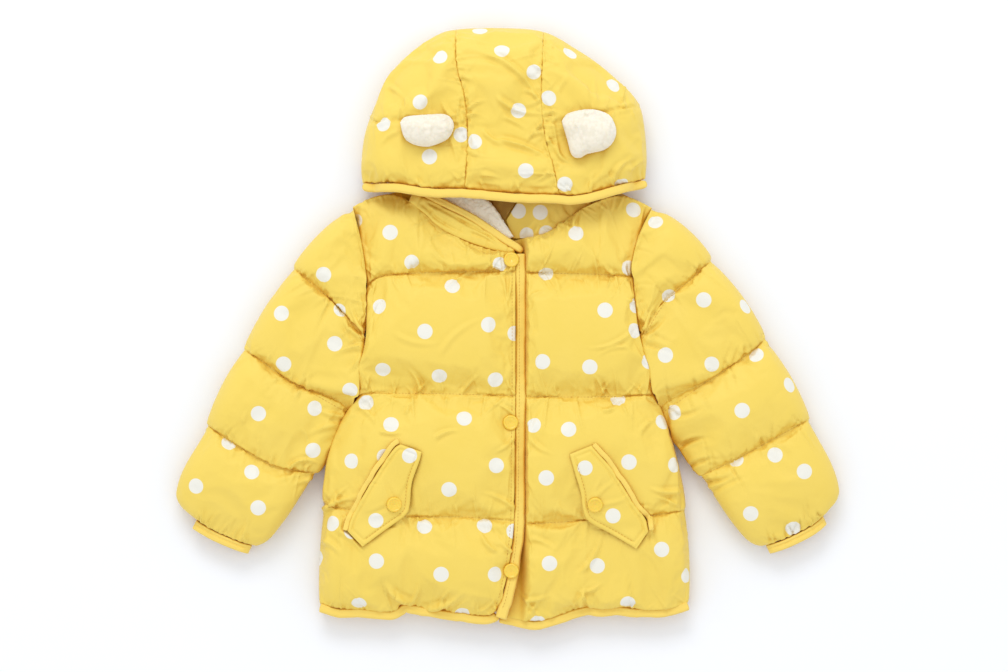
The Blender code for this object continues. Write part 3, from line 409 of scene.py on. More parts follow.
def quilted(seams, puffs, shares=None, spacing=2.1):
    """The plan of a quilted panel: a row of points for each line across it, seams included."""
    curves = [curve(seam) for seam in seams]
    if shares is None:
        shares = spread(int(max(lengths(c)[-1] for c in curves) / spacing) + 1)
    plan = {"xy": [], "puff": [], "v": [], "rise": []}
    for i, (outer_out, inner_out, peak, rise) in enumerate(puffs):
        above, below = at(curves[i], shares), at(curves[i + 1], shares)
        depths = np.linalg.norm(at(curves[i], (0, 0.5, 1)) - at(curves[i + 1], (0, 0.5, 1)), axis=1)
        steps = spread(int(depths.max() / spacing) + 2)
        for v in steps if i == len(puffs) - 1 else steps[:-1]:
            row = above * (1 - v) + below * v
            way = (row[-1] - row[0]) / np.linalg.norm(row[-1] - row[0])
            swell = belly(v, peak) ** (1.6 if peak > 0.7 else 1.0)
            row = row - way * (outer_out * swell * (1 - shares) ** 2)[:, None]
            plan["xy"].append(row + way * (inner_out * swell * shares**2)[:, None])
            for key, value in (("puff", i), ("v", v), ("rise", rise)):
                plan[key].append([value])
    plan = {key: np.array(value) for key, value in plan.items()}
    plan["share"] = shares[None, :]
    plan["length"] = np.linalg.norm(plan["xy"][:, -1] - plan["xy"][:, 0], axis=1)[:, None]
    return plan


def seam_rows(plan):
    """1 on the rows of a panel that are seams, else 0."""
    sewn = (plan["v"] == 0) | (plan["v"] == 1)
    return np.repeat(sewn.astype(float), plan["xy"].shape[1], axis=1)


def front_height(plan, to_side):
    """Height of a front before its front edge is shaped: the puffs, the side fold, the neck."""
    x, y = plan["xy"][..., 0], plan["xy"][..., 1]
    neck = EDGE_HEIGHT + (NECK_HEIGHT - EDGE_HEIGHT) * ease((104 - abs(x)) / 22)
    level = [neck, *[np.full_like(x, h) for h in (SEAM_HEIGHT, SEAM_HEIGHT, SEAM_HEIGHT, HEM_HEIGHT)]]
    above = np.choose(plan["puff"] + 0 * x.astype(int), level[:-1])
    below = np.choose(plan["puff"] + 0 * x.astype(int), level[1:])
    v = plan["v"]
    # Wadding fills the valleys under a pocket flap, and the hood's weight sinks the first puff
    filled = np.max([ease((r - np.hypot(x - px, y - py)) / 16) for px, py, r in POCKETS], axis=0)
    quilting = puff(v) + np.maximum(0.62 - puff(v), 0) * filled
    sunk = (plan["puff"] == 0) * np.exp(-((v * 70 / 22) ** 2)) * ease((abs(x) - 30) / 30)
    quilting = quilting * (1 - 0.75 * sunk)
    crown = above * (1 - v) + below * v + plan["rise"] * quilting
    # Where the sleeve lies against the side, the edge stays high and turns down sharply
    touching = ease((y + 74) / 16) * ease((108 - y) / 9)
    low = EDGE_HEIGHT + (np.maximum(crown - 4.5, EDGE_HEIGHT) - EDGE_HEIGHT) * touching
    return low + (crown - low) * rounded(to_side, SIDE_ROUNDING - 19 * touching)


def places(mesh):
    """The vertices of a mesh, in the tables' millimetres."""
    co = np.empty(len(mesh.vertices) * 3, np.float32)
    mesh.vertices.foreach_get("co", co)
    return co.reshape(-1, 3).astype(float) / MM + TABLE_POINT


def move_to(mesh, points):
    """Moves the vertices of a mesh to points in the tables' millimetres."""
    mesh.vertices.foreach_set("co", ((points - TABLE_POINT) * MM).astype(np.float32).ravel())
    mesh.update()


def cloth_grid(name, points, tube=False):
    """A grid of points as a piece of cloth that remembers where each point started."""
    rows, columns = points.shape[:2]
    bm = bmesh.new()
    bmesh.ops.create_grid(bm, x_segments=columns - 1, y_segments=rows - 1, size=1.0)
    number = bm.verts.layers.int.new("number")
    rest = bm.verts.layers.float_vector.new("rest")
    for vert in bm.verts:
        row = round((vert.co.y + 1) / 2 * (rows - 1))
        column = round((vert.co.x + 1) / 2 * (columns - 1))
        vert[number] = row * columns + column
        vert[rest] = points[row, column]
        vert.co = (points[row, column] - TABLE_POINT) * MM
    if tube:
        bmesh.ops.remove_doubles(bm, verts=bm.verts, dist=1e-6)
    return put(name, bm)


def values_of(mesh, name, kind="value", size=1, dtype=np.float32):
    """The values of one of a mesh's attributes, as an array."""
    values = np.empty(len(mesh.vertices) * size, dtype)
    mesh.attributes[name].data.foreach_get(kind, values)
    return values.reshape(-1, size).astype(float) if size > 1 else values


CUT_TOO_BIG = 0.03
PUFF_PRESSURE = 0.6
SETTLING_FRAMES = 20


def settle(piece, held, cap=4.0):
    """Lets cloth that is cut a little too big buckle between the seams that hold it."""
    mesh = piece.data
    start = places(mesh)
    held = held.ravel()[values_of(mesh, "number", dtype=np.int32)]
    group = piece.vertex_groups.new(name="held")
    for index in np.nonzero(held > 0)[0]:
        group.add([int(index)], float(held[index]), "REPLACE")
    buckling = piece.modifiers.new("Buckling", "CLOTH")
    cloth = buckling.settings
    cloth.vertex_group_mass = "held"
    cloth.quality = 5
    cloth.mass = 0.08
    cloth.tension_stiffness = cloth.compression_stiffness = 18
    cloth.shear_stiffness = 8
    cloth.bending_stiffness = 0.3
    cloth.air_damping = 2.0
    cloth.shrink_min = -CUT_TOO_BIG
    cloth.use_pressure = True
    cloth.uniform_pressure_force = PUFF_PRESSURE
    cloth.effector_weights.gravity = 0.0
    buckling.collision_settings.use_collision = False
    for number in range(1, SETTLING_FRAMES + 1):
        scene.frame_set(number)
    settled = places(piece.evaluated_get(bpy.context.evaluated_depsgraph_get()).data)
    piece.modifiers.remove(buckling)
    scene.frame_set(1)
    moved = settled - start
    far = np.linalg.norm(moved, axis=1, keepdims=True)
    move_to(mesh, start + moved * np.minimum(1.0, cap / np.maximum(far, 1e-6)))
    piece.vertex_groups.clear()


def refine(piece):
    """Subdivides a piece smoothly and keeps the result as its mesh."""
    smooth = piece.modifiers.new("Smooth", "SUBSURF")
    smooth.levels = smooth.render_levels = 1
    finer = bpy.data.meshes.new_from_object(piece.evaluated_get(bpy.context.evaluated_depsgraph_get()))
    piece.modifiers.remove(smooth)
    old = piece.data
    piece.data = finer
    bpy.data.meshes.remove(old)


def raised(piece, p, amount):
    """Moves each point of a piece outwards from the cloth by its own amount."""
    normals = np.empty(p.size, np.float32)
    piece.data.vertices.foreach_get("normal", normals)
    move_to(piece.data, p + normals.reshape(-1, 3) * amount[:, None])


def crease(piece, folds, only=None, sharp=1.0, strong=1.0):
    """Presses folds in: troughs that fade along their length, each with a soft lip beside it."""
    p = places(piece.data)
    rise = np.zeros(len(p))
    for x0, y0, x1, y1, bow, depth, width in folds:
        along = np.array([x1 - x0, y1 - y0], float)
        reach = np.linalg.norm(along)
        along /= reach
        d = p[:, :2] - (x0, y0)
        t = d @ along / reach
        near = (t > -0.15) & (t < 1.1)
        t = t[near]
        off = d[near] @ np.array([-along[1], along[0]]) - bow * 4 * t * (1 - t)
        narrow = width * (1.1 - 0.4 * t) * sharp
        size = strong * depth * ease((t + 0.15) / 0.25) * ease((1.1 - t) / 0.8)
        trough = np.exp(-((off / narrow) ** 2))
        lips = np.exp(-(((abs(off) - 2 * narrow) / narrow) ** 2))
        rise[near] += size * (0.35 * lips - trough)
    if only is not None:
        rise *= only(p)
    raised(piece, p, rise)


def gathers(seam, seed, sides=(1, -1), gap=(7, 20), reach=(6, 24), depth=(0.4, 1.15), width=(0.9, 1.7)):
    """Short uneven folds that a seam's stitching draws in on each side of it."""
    luck = np.random.default_rng(seed)
    line = at(curve(seam), np.linspace(0, 1, 200))
    along = lengths(line)
    folds = []
    for side in sides:
        s = luck.uniform(*gap) / 2
        while s < along[-1] - 2:
            i = min(int(np.searchsorted(along, s)), 198)
            way = (line[i + 1] - line[i]) / np.linalg.norm(line[i + 1] - line[i])
            turn = luck.normal(0, 0.42)
            out = np.array([-way[1], way[0]]) * side * math.cos(turn) + way * math.sin(turn)
            start, end = line[i] + out, line[i] + out * luck.uniform(*reach)
            folds.append((*start, *end, luck.normal(0, 0.9), luck.uniform(*depth), luck.uniform(*width)))
            s += luck.uniform(*gap)
    return folds


def puckers(seam, seed, sides=(1, -1)):
    """The small dimples between a seam's stitches."""
    return gathers(seam, seed, sides, gap=(3, 7), reach=(2.5, 5.5), depth=(0.2, 0.55), width=(0.8, 1.2))


def creases(seam, seed, sides=(1, -1)):
    """A few longer sharp creases that run out from a seam."""
    return gathers(seam, seed, sides, gap=(14, 40), reach=(16, 44), depth=(0.5, 1.2), width=(0.8, 1.3))


def drawn_in(piece, seams, seed):
    """The gathers, dimples and creases along a front's seams, on the sides that it has cloth."""
    for i, seam in enumerate(seams):
        sides = {0: (-1,), 4: (1,)}.get(i, (1, -1))
        small = puckers(seam, seed + 5 + i, sides) + creases(seam, seed + 200 + i, sides)
        crease(piece, gathers(seam, seed + i, sides) + small)


def skin(piece):
    """The surface of a piece in the tables' millimetres, to drop points on."""
    faces = [tuple(f.vertices) for f in piece.data.polygons]
    return BVHTree.FromPolygons([tuple(v) for v in places(piece.data)], faces)


def drop(surface, x, y):
    """Where a point dropped from above lands on a surface, or None."""
    return surface.ray_cast(Vector((x, y, 300)), Vector((0, 0, -1)))[0]


# A distance that no spot reaches
NO_SPOT = 99.0


def print_spots(piece, chart, hidden=None, seed=1, apart=37.0, seams=()):
    """Prints the spots: every point keeps its distance to the middle of the nearest one.

    The chart has those that show. A third number is the seam that takes in the other part of a
    spot. Others are scattered where hidden is true.
    """
    mesh = piece.data
    rest = values_of(mesh, "rest", "vector", 3)
    near = KDTree(len(rest))
    final = places(mesh)
    for i, p in enumerate(final):
        near.insert(p, i)
    near.balance()
    surface = skin(piece)
    middles, halves = [], []
    for x, y, *seam in chart:
        hit = drop(surface, x, y) or Vector((x, y, 22.0))
        middle = rest[near.find(hit)[1]]
        if seam:
            line = curve(seams[seam[0]])
            line = line[line[:, 0].argsort()]
            side = np.sign(y - np.interp(x, line[:, 0], line[:, 1]))
            halves.append((middle, side * (rest[:, 1] - np.interp(rest[:, 0], line[:, 0], line[:, 1])) < 0))
        else:
            middles.append(middle)
    if hidden is not None:
        luck = np.random.default_rng(seed)
        for index in luck.permutation(np.nonzero(hidden(final))[0])[:6000]:
            if all(np.linalg.norm(rest[index] - c) > apart for c in middles):
                middles.append(rest[index])
    distance = np.full(len(rest), NO_SPOT)
    for middle in middles:
        distance = np.minimum(distance, np.linalg.norm(rest - middle, axis=1))
    for middle, taken_in in halves:
        distance = np.minimum(distance, np.linalg.norm(rest - middle, axis=1) + NO_SPOT * taken_in)
    layer = mesh.attributes.new("dot", "FLOAT", "POINT")
    layer.data.foreach_set("value", distance.astype(np.float32))


@contextmanager
def edited(piece):
    """Opens a piece's mesh to be edited, and then turns its faces outwards."""
    bm = bmesh.new()
    bm.from_mesh(piece.data)
    yield bm
    bmesh.ops.recalc_face_normals(bm, faces=bm.faces)
    bm.to_mesh(piece.data)
    bm.free()


def rim_of(bm):
    return [e for e in bm.edges if e.is_boundary]


def verts_in(geom):
    return [v for v in geom if isinstance(v, bmesh.types.BMVert)]


def closed_below(piece, base, cuts=()):
    """Takes a panel's edge straight down to its plain inside and closes that."""
    with edited(piece) as bm:
        for vert in verts_in(bmesh.ops.extrude_edge_only(bm, edges=rim_of(bm))["geom"]):
            x, y = vert.co.x / MM + TABLE_POINT[0], vert.co.y / MM + TABLE_POINT[1]
            vert.co.z = base(x, y) * MM
        plain = bmesh.ops.holes_fill(bm, edges=rim_of(bm))["faces"]
        for x in cuts:
            geom = [*plain, *{e for f in plain for e in f.edges}, *{v for f in plain for v in f.verts}]
            cut = bmesh.ops.bisect_plane(
                bm, geom=geom, plane_co=((x - TABLE_POINT[0]) * MM, 0, 0), plane_no=(1, 0, 0)
            )
            plain = [f for f in cut["geom"] if isinstance(f, bmesh.types.BMFace)]


def finish(piece, node_name, material):
    """Gives a piece its material, smooth faces and its place in the frame."""
    mesh = piece.data
    mesh.materials.clear()
    mesh.materials.append(material)
    mesh.shade_smooth()
    for name in ("rest", "number"):
        if name in mesh.attributes:
            mesh.attributes.remove(mesh.attributes[name])
    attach(piece, "root")
    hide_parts(node_name)


def padded_cloth(piece, node_name):
    """Finishes a piece of shell cloth that holds wadding."""
    finish(piece, node_name, shell)


plan = quilted(RIGHT_FRONT_SEAMS, RIGHT_FRONT_PUFFS)
x, y = plan["xy"][..., 0], plan["xy"][..., 1]
x[:] -= 4 * np.maximum(1 - plan["share"] * 4, 0) * np.exp(-(((y + 36) / 17) ** 2))
side_right = plan["xy"][:, 0].copy()
z = front_height(plan, plan["share"] * plan["length"])
z = PLACKET_HEIGHT + (z - PLACKET_HEIGHT) * rounded((1 - plan["share"]) * plan["length"] + 2, 30.0)
for sx, sy in STUD_SEATS:
    z = z + (PLACKET_HEIGHT - z) * np.exp(-((x - sx) ** 2 + (y - sy) ** 2) / STUD_DRAW**2)
front_right = cloth_grid("cloth_front_right", np.dstack([x, y, np.maximum(z, INSIDE + THIN)]))
held = seam_rows(plan)
held[:, -1] = 1
held[:, 0] = 1
for sx, sy in STUD_SEATS:
    held[np.hypot(x - sx, y - sy) < STUD_HELD] = 1
settle(front_right, held)
refine(front_right)
crease(front_right, RIGHT_FRONT_FOLDS, sharp=0.6, strong=1.45)
drawn_in(front_right, RIGHT_FRONT_SEAMS, 11)
print_spots(front_right, RIGHT_FRONT_DOTS, seams=RIGHT_FRONT_SEAMS)


def overlap_inside(x, y):
    """The right front's inside, which rises onto the left front's underlap."""
    return INSIDE + (OVERLAP_INSIDE - INSIDE) * float(ease((x - OVERLAP_X) / 6))


closed_below(front_right, overlap_inside, cuts=(OVERLAP_X, OVERLAP_X + 6))
padded_cloth(front_right, "front_right")

plan = quilted(LEFT_FRONT_SEAMS, LEFT_FRONT_PUFFS)
x, y = plan["xy"][..., 0], plan["xy"][..., 1]
x[:] += 4 * np.maximum(plan["share"] * 4 - 3, 0) * np.exp(-(((y + 36) / 17) ** 2))
side_left = plan["xy"][:, -1].copy()
z = front_height(plan, (1 - plan["share"]) * plan["length"])
z = BESIDE_PLACKET + (z - BESIDE_PLACKET) * rounded(plan["share"] * plan["length"], SEAM_ROUNDING)
shown = np.dstack([plan["xy"], np.maximum(z, INSIDE + THIN)])
puff_number = plan["puff"][:, 0]
corners = np.array(UNDERLAP, float)
hidden_edge = corners[puff_number] * (1 - plan["v"]) + corners[puff_number + 1] * plan["v"]
share = np.linspace(0, 1, UNDERLAP_COLUMNS + 1)[:-1, None]
underlap = [
    np.hstack([
        edge + (row[0, :2] - (0.6, 0) - edge) * share, np.full((UNDERLAP_COLUMNS, 1), UNDERLAP_TOP)
    ])
    for edge, row in zip(hidden_edge, shown)
]
front_left = cloth_grid("cloth_front_left", np.concatenate([underlap, shown], axis=1))
held = np.concatenate([np.ones((len(shown), UNDERLAP_COLUMNS)), seam_rows(plan)], axis=1)
held[:, UNDERLAP_COLUMNS] = 1
held[:, -1] = 1
settle(front_left, held)
refine(front_left)
crease(front_left, LEFT_FRONT_FOLDS, sharp=0.6, strong=1.45)
drawn_in(front_left, LEFT_FRONT_SEAMS, 21)
print_spots(front_left, LEFT_FRONT_DOTS, seams=LEFT_FRONT_SEAMS)
closed_below(front_left, lambda x, y: INSIDE)
padded_cloth(front_left, "front_left")


# ------------------------------------------------------------------ the back
# The same shell cloth, wadding and quilting as the fronts. The jacket's weight presses it flat
# on the table, so its seams are shallow there, and its sides round up to the side folds.

BACK_THICKNESS = 14.0
UNDER_ROUNDING = 13.0
BACK_NECK = (
    RIGHT_SHOULDER, (-120, 117), (-96, 125), (-60, 130), (-20, 128.2), (20, 127.2), (55, 127), (92, 125),
    (112, 117), LEFT_SHOULDER,
)
BACK_MIDDLES = ((0, 50), (0, -60), (0, -171), (0, -248))

back_seams = [BACK_NECK, *zip(
    [seam[0] for seam in RIGHT_FRONT_SEAMS[1:]], BACK_MIDDLES, [seam[-1] for seam in LEFT_FRONT_SEAMS[1:]]
)]
back_puffs = [(r[0], p[1], r[2], 0.0) for r, p in zip(RIGHT_FRONT_PUFFS, LEFT_FRONT_PUFFS)]
plan = quilted(back_seams, back_puffs, spacing=4.8)
x, y = plan["xy"][..., 0], plan["xy"][..., 1]
beside_fold = 1 - rounded(np.minimum(plan["share"], 1 - plan["share"]) * plan["length"], UNDER_ROUNDING)
lift = (BACK_THICKNESS - THIN) * beside_fold * (1 - ease((y + 22) / 14))
hem_lift = 3.0 * (1 - rounded((1 - plan["v"]) * 90.0, UNDER_ROUNDING)) * (plan["puff"] == 3)
quilt_lift = 2.2 * (1 - rounded(np.minimum(plan["v"], 1 - plan["v"]) * 100.0, 9.0))
lift = np.maximum(np.maximum(lift, hem_lift), quilt_lift * (plan["share"] > 0) * (plan["share"] < 1))
back = cloth_grid("cloth_back", np.dstack([x, y, lift]))
refine(back)
for i, seam in enumerate(back_seams):
    crease(back, gathers(seam, 31 + i, depth=(0.4, 1.0), reach=(6, 18)), only=lambda p: p[:, 2] > 0.15)
p = places(back.data)
p[:, 2] = np.clip(p[:, 2], 0, BACK_THICKNESS - 0.6)
move_to(back.data, p)
print_spots(back, (), hidden=lambda p: p[:, 2] < 99, seed=5)
closed_below(back, lambda x, y: BACK_THICKNESS)
padded_cloth(back, "back")


# ------------------------------------------------------------------ sleeves
# Each sleeve is one padded tube, quilted across in four puffs and lying flat: round and full
# on top, pressed flat below. Its end is gathered into the cuff.

SLEEVE_SLOT = 0.8
SLEEVE_WALL = 9.0
SLEEVE_END_HEIGHT = 17.0
# The height up the jacket that parts a sleeve's armhole from its cuff
MOUTHS_APART = -100
# Quilting seams from the sleeve's outer fold to its inner one, armhole first, cuff last
RIGHT_SLEEVE_SEAMS = (
    ((-141.6, 110), (-132.8, 75), (-129.6, 45), (-128.6, 15), (-129.6, -3)),
    ((-194, 55), (-173, 37), (-157, 23), (-141, 4), (-131, -12)),
    ((-239, -18), (-222, -29), (-202, -43), (-181, -55), (-144.5, -76)),
    ((-272, -86), (-251, -100), (-222, -117), (-202, -125), (-173, -130)),
    ((-283, -171), (-264, -182), (-243, -191), (-230, -195)),
)
LEFT_SLEEVE_SEAMS = (
    ((129.6, 109), (119, 86), (113.4, 66), (112.6, 45), (115.5, 17), (117.5, -1)),
    ((182, 62), (164, 45), (151, 34), (138, 21), (119.5, -9)),
    ((231, -8), (219, -19), (202, -31), (184, -43), (140, -74)),
    ((271, -81), (257, -88), (228, -104), (202, -118), (172, -132.5)),
    ((284, -167), (270, -178), (248, -189), (230, -195)),
)
RIGHT_SLEEVE_PUFFS = (
    (5.0, 0.0, 0.5, 10.0), (3.0, 7.0, 0.5, 11.5), (3.0, 5.0, 0.5, 11.5), (20.0, 7.0, 0.82, 12.0)
)
LEFT_SLEEVE_PUFFS = (
    (7.0, 0.0, 0.5, 10.0), (4.0, 7.0, 0.5, 11.5), (3.0, 4.0, 0.5, 11.5), (17.0, 8.0, 0.82, 12.0)
)
RIGHT_SLEEVE_FOLDS = (
    (-132, -8, -150, 10, 2, 1.8, 3.2),
    (-131, -2, -143, 24, 2, 1.2, 2.4),
    (-131, 12, -137, 38, -1, 1.0, 2.2),
    (-133, -16, -158, -24, -2, 1.6, 3.4),
    (-133, -24, -150, -42, 2, 1.1, 2.8),
    (-181, -55, -178, -36, 1, 1.4, 2.6),
    (-196, -46, -194, -36, 0, 1.1, 2.2),
    (-150, -78, -176, -70, 2, 1.5, 3.4),
    (-156, -86, -184, -98, -2, 1.5, 3.6),
    (-183, -92, -180, -112, 1, 0.9, 2.6),
    (-197, -125, -170, -122, 6, 2.2, 2.6),
    (-184, -127, -176, -120, 1, 1.4, 2.2),
    (-214, -121, -210, -109, 1, 1.4, 2.4),
    (-176, -134, -196, -142, -1, 1.3, 3.0),
    (-238, -84, -232, -70, 1, 0.8, 2.4),
)
LEFT_SLEEVE_FOLDS = (
    (121, -4, 140, 12, -2, 1.8, 3.2),
    (118, 2, 130, 26, -1, 1.1, 2.4),
    (122, -14, 148, -24, 2, 1.6, 3.4),
    (172, 57, 168, 47, 0, 1.4, 2.4),
    (212, -24, 211, -13, 0, 1.4, 2.2),
    (196, -34, 192, -22, 1, 1.1, 2.2),
    (150, -78, 174, -70, -2, 1.4, 3.2),
    (155, -105, 179, -98, 2, 2.0, 2.8),
    (162, -124, 190, -116, 2, 1.4, 3.0),
    (177, -138, 204, -129, -2, 2.0, 3.2),
    (184, -146, 214, -133, 2, 1.2, 3.4),
    (228, -104, 224, -92, 0, 1.2, 2.2),
)
RIGHT_SLEEVE_DOTS = (
    (-166, 48), (-204, 14), (-152, 16), (-156, -13), (-202, -31), (-142, -55), (-174, -71), (-224, -76),
    (-176, -109), (-251, -102.5, 3), (-231, -128), (-281, -141), (-225, -160),
)
LEFT_SLEEVE_DOTS = (
    (131, 96), (144, 30), (174, 26), (212, 20), (140, -23), (182, -31), (222, -23), (252, -50), (208, -73),
    (148, -75), (238, -113), (204, -118.5, 3), (265, -128), (217, -166), (256, -179),
)


def off_body(plan, edge):
    """Sews a sleeve's head along the armhole, and keeps its inner end outside the body's side."""
    whole = edge[::-1]
    head = np.interp(plan["xy"][..., 1], whole[:, 1], whole[:, 0]) - 0.3 * np.sign(edge[0, 0])
    sewn = np.maximum(1 - plan["v"] / 0.2, 0) * (plan["puff"] == 0)
    plan["xy"][..., 0] += (head - plan["xy"][..., 0]) * sewn
    xy, share = plan["xy"], plan["share"]
    way = np.sign(edge[0, 0])
    limit = np.interp(xy[..., 1], whole[:, 1], whole[:, 0]) - 0.2 * way
    gap = way * (xy[..., 0] - limit)
    touches = ease((xy[:, -1:, 1] + 108) / 12) * (gap[:, -1:] < 14) * np.maximum(2 * share - 1, 0) ** 2
    moved = np.where(gap > 0, gap * (1 - touches), (1 - share) * 20)
    near = (share > 0.5) & (plan["puff"] > 0)
    xy[..., 0] = np.where(near & ((gap > 0) | (moved > gap)), limit + way * moved, xy[..., 0])


def sleeve(name, seams, puffs, edge, folds, spots, seed):
    """A sleeve as a flattened tube: puffs on top, flat below, and its narrow opening inside."""
    left = 1 if name.endswith("left") else -1
    over = spread(int(lengths(curve(seams[1]))[-1] / 2.1), 0.45)
    under = spread(18, 0.5)[1:-1][::-1]
    top = quilted(seams, puffs, shares=over)
    low = quilted(seams, puffs, shares=under[::-1])
    off_body(top, edge)
    off_body(low, edge)
    low = {key: value[:, ::-1] if key == "xy" else value for key, value in low.items()}
    middle = BACK_THICKNESS + SLEEVE_SLOT / 2
    v, length = top["v"], top["length"]
    last = top["puff"] == 3
    end = SEAM_HEIGHT + (SLEEVE_END_HEIGHT - SEAM_HEIGHT) * v * last
    crown = end + top["rise"] * puff(v)
    crown = crown + 6 * (top["puff"] == 0) * np.maximum(1 - v / 0.12, 0) * np.sin(np.pi * over[None]) ** 0.5
    outer = rounded(over[None] * length, np.minimum(SIDE_ROUNDING, length * 0.3))
    down = np.sin(np.pi * np.clip((top["puff"] + v - 0.9) / 2.5, 0, 1))
    inner = rounded((1 - over)[None] * length, np.minimum(SIDE_ROUNDING + 30 * down, length * 0.5))
    touching = ease((top["xy"][:, -1:, 1] + 78) / 16) * (over[None] > 0.5)
    least = middle + (crown - 5 - middle) * touching
    rolled = np.sin(np.pi / 2 * np.clip((1 - over)[None] / 0.6, 0, 1))
    inner = inner + (rolled - inner) * 0.6 * down * (1 - touching)
    z = least + (middle + (crown - middle) * outer - least) * inner
    end_lift = 5.0 * (1 - rounded((1 - v) * 70.0, 16.0)) * last
    pressed = rounded(np.minimum(under, 1 - under)[None] * length, UNDER_ROUNDING)
    quilt_lift = 2.0 * (1 - rounded(np.minimum(v, 1 - v) * 75.0, 9.0))
    z_low = np.maximum(np.maximum(middle * (1 - pressed), end_lift), quilt_lift)
    rings = np.concatenate([np.dstack([top["xy"], z]), np.dstack([low["xy"], z_low])], axis=1)
    rings = np.concatenate([rings, rings[:, :1]], axis=1)
    piece = cloth_grid(name, rings, tube=True)
    held = np.concatenate([seam_rows(top), np.ones(z_low.shape), seam_rows(top)[:, :1]], axis=1)
    held[:, len(over) :-1] = np.where(z_low > 3, seam_rows(low), 1)
    settle(piece, held, cap=3.5)
    refine(piece)
    armhole = curve(seams[0])

    def above(p):
        return ease((p[:, 2] - 12) / 6)

    def away(p):
        return above(p) * ease((distance_to(p[:, :2], armhole) - 4) / 12)

    def below(p):
        return (p[:, 2] < 11) & (p[:, 2] > 0.1)

    crease(piece, folds, only=above, sharp=0.65, strong=1.35)
    for i, seam in enumerate(seams):
        sides = {0: (left,), 4: (-left,)}.get(i, (1, -1))
        size = {"gap": (4, 8), "reach": (8, 24), "depth": (0.8, 1.8)} if i == 4 else {}
        small = puckers(seam, seed + 4 + i, sides) + creases(seam, seed + 191 + i, sides) if i else []
        crease(piece, gathers(seam, seed + i, sides=sides, **size) + small, only=away if i == 1 else above)
        crease(piece, gathers(seam, seed + 9 + i, depth=(0.4, 0.9)), only=below)
    p = places(piece.data)
    p[:, 2] = np.maximum(p[:, 2], 0)
    move_to(piece.data, p)
    print_spots(piece, spots, hidden=lambda p: p[:, 2] < 13, seed=seed, seams=seams)
    with edited(piece) as bm:
        moved = verts_in(bmesh.ops.extrude_edge_only(bm, edges=rim_of(bm))["geom"])
        mouths = [
            np.array([v.co[:2] for v in moved if (v.co.y / MM > MOUTHS_APART) == upper])
            for upper in (True, False)
        ]
        for vert in moved:
            mouth = mouths[0 if vert.co.y / MM > MOUTHS_APART else 1]
            a, b = mouth[mouth[:, 0].argmin()], mouth[mouth[:, 0].argmax()]
            line = b - a
            across = float((np.array(vert.co[:2]) - a) @ line / (line @ line))
            off = np.array(vert.co[:2]) - (a + line * across)
            wall = SLEEVE_WALL * MM / np.linalg.norm(line)
            flat = a + line * (wall + (1 - 2 * wall) * across) + off
            side = 1 if vert.co.z / MM > middle else -1
            vert.co = (*flat, (middle + side * SLEEVE_SLOT / 2) * MM)
        bmesh.ops.bridge_loops(bm, edges=rim_of(bm))
    padded_cloth(piece, name.replace("cloth_", ""))
    return piece


sleeve_right = sleeve(
    "cloth_sleeve_right", RIGHT_SLEEVE_SEAMS, RIGHT_SLEEVE_PUFFS, side_right, RIGHT_SLEEVE_FOLDS,
    RIGHT_SLEEVE_DOTS, 40,
)
sleeve_left = sleeve(
    "cloth_sleeve_left", LEFT_SLEEVE_SEAMS, LEFT_SLEEVE_PUFFS, side_left, LEFT_SLEEVE_FOLDS,
    LEFT_SLEEVE_DOTS, 60,
)


# ------------------------------------------------------------------ cuffs
# A narrow elastic binding in mustard twill tape that the sleeve's end is gathered into. The
# relaxed elastic draws its cloth into small upright ripples.

CUFF_LENGTH = 9.0
CUFF_BOTTOM = 6.0
CUFF_TOP = 20.0
CUFF_POINTS = 36

tape, tree, shader = new_finish("cotton_twill_tape")
place = node(tree, "ShaderNodeTexCoord").outputs["Object"]
faded = node(tree, "ShaderNodeTexNoise", [("Vector", place)], {"Scale": 90.0, "Detail": 4.0})
# Painted shade: the per-piece tone attribute draws this one mustard tape lighter or darker for how much light
# falls on each piece, the noise adds random fading, and folds get painted shade too.
painted_tone = node(tree, "ShaderNodeAttribute", attribute_name="painted_tone").outputs["Fac"]
painted_tone_and_wear = node(tree, "ShaderNodeMath", [(0, painted_tone), (1, faded.outputs["Fac"])], operation="ADD")
mustard = node(
    tree, "ShaderNodeMix", [(0, painted_tone_and_wear.outputs[0])], {6: linear("#96702a"), 7: linear("#efd066")},
    data_type="RGBA",
)
tree.links.new(painted_fold_shade(tree, mustard.outputs[2]), shader.inputs["Base Color"])
# Twill ribs are 0.5 mm apart in the real tape, and are drawn at 0.9 mm so that they show
ribs = node(
    tree, "ShaderNodeTexWave", [("Vector", place)], {"Scale": 350.0, "Distortion": 0.8},
    bands_direction="DIAGONAL",
)
rib_bump = node(
    tree, "ShaderNodeBump", [("Height", ribs.outputs["Fac"])], {"Strength": 0.35, "Distance": 0.0003}
)
tree.links.new(rib_bump.outputs[0], shader.inputs["Normal"])
shader.inputs["Roughness"].default_value = 0.78
shader.inputs["Specular IOR Level"].default_value = 0.3
shader.inputs["Sheen Weight"].default_value = 0.15


def uneven(s, gap, seed):
    """A smooth random curve, about -1 to 1, that turns about every gap."""
    luck = np.random.default_rng(seed)
    knots = luck.uniform(-1, 1, int(np.max(s) / gap) + 3)
    i = np.clip((np.asarray(s) / gap).astype(int), 0, len(knots) - 2)
    t = ease(np.asarray(s) / gap - i)
    return knots[i] * (1 - t) + knots[i + 1] * t


def paint_tape_shade(piece, painted_tone):
    """Gives a piece of tape its painted shade, how much lighter or darker the one mustard is drawn for the light
    on it: -0.5 is the darkest, and 1 the lightest.
    """
    layer = piece.data.attributes.new("painted_tone", "FLOAT", "POINT")
    layer.data.foreach_set("value", np.full(len(piece.data.vertices), painted_tone, np.float32))


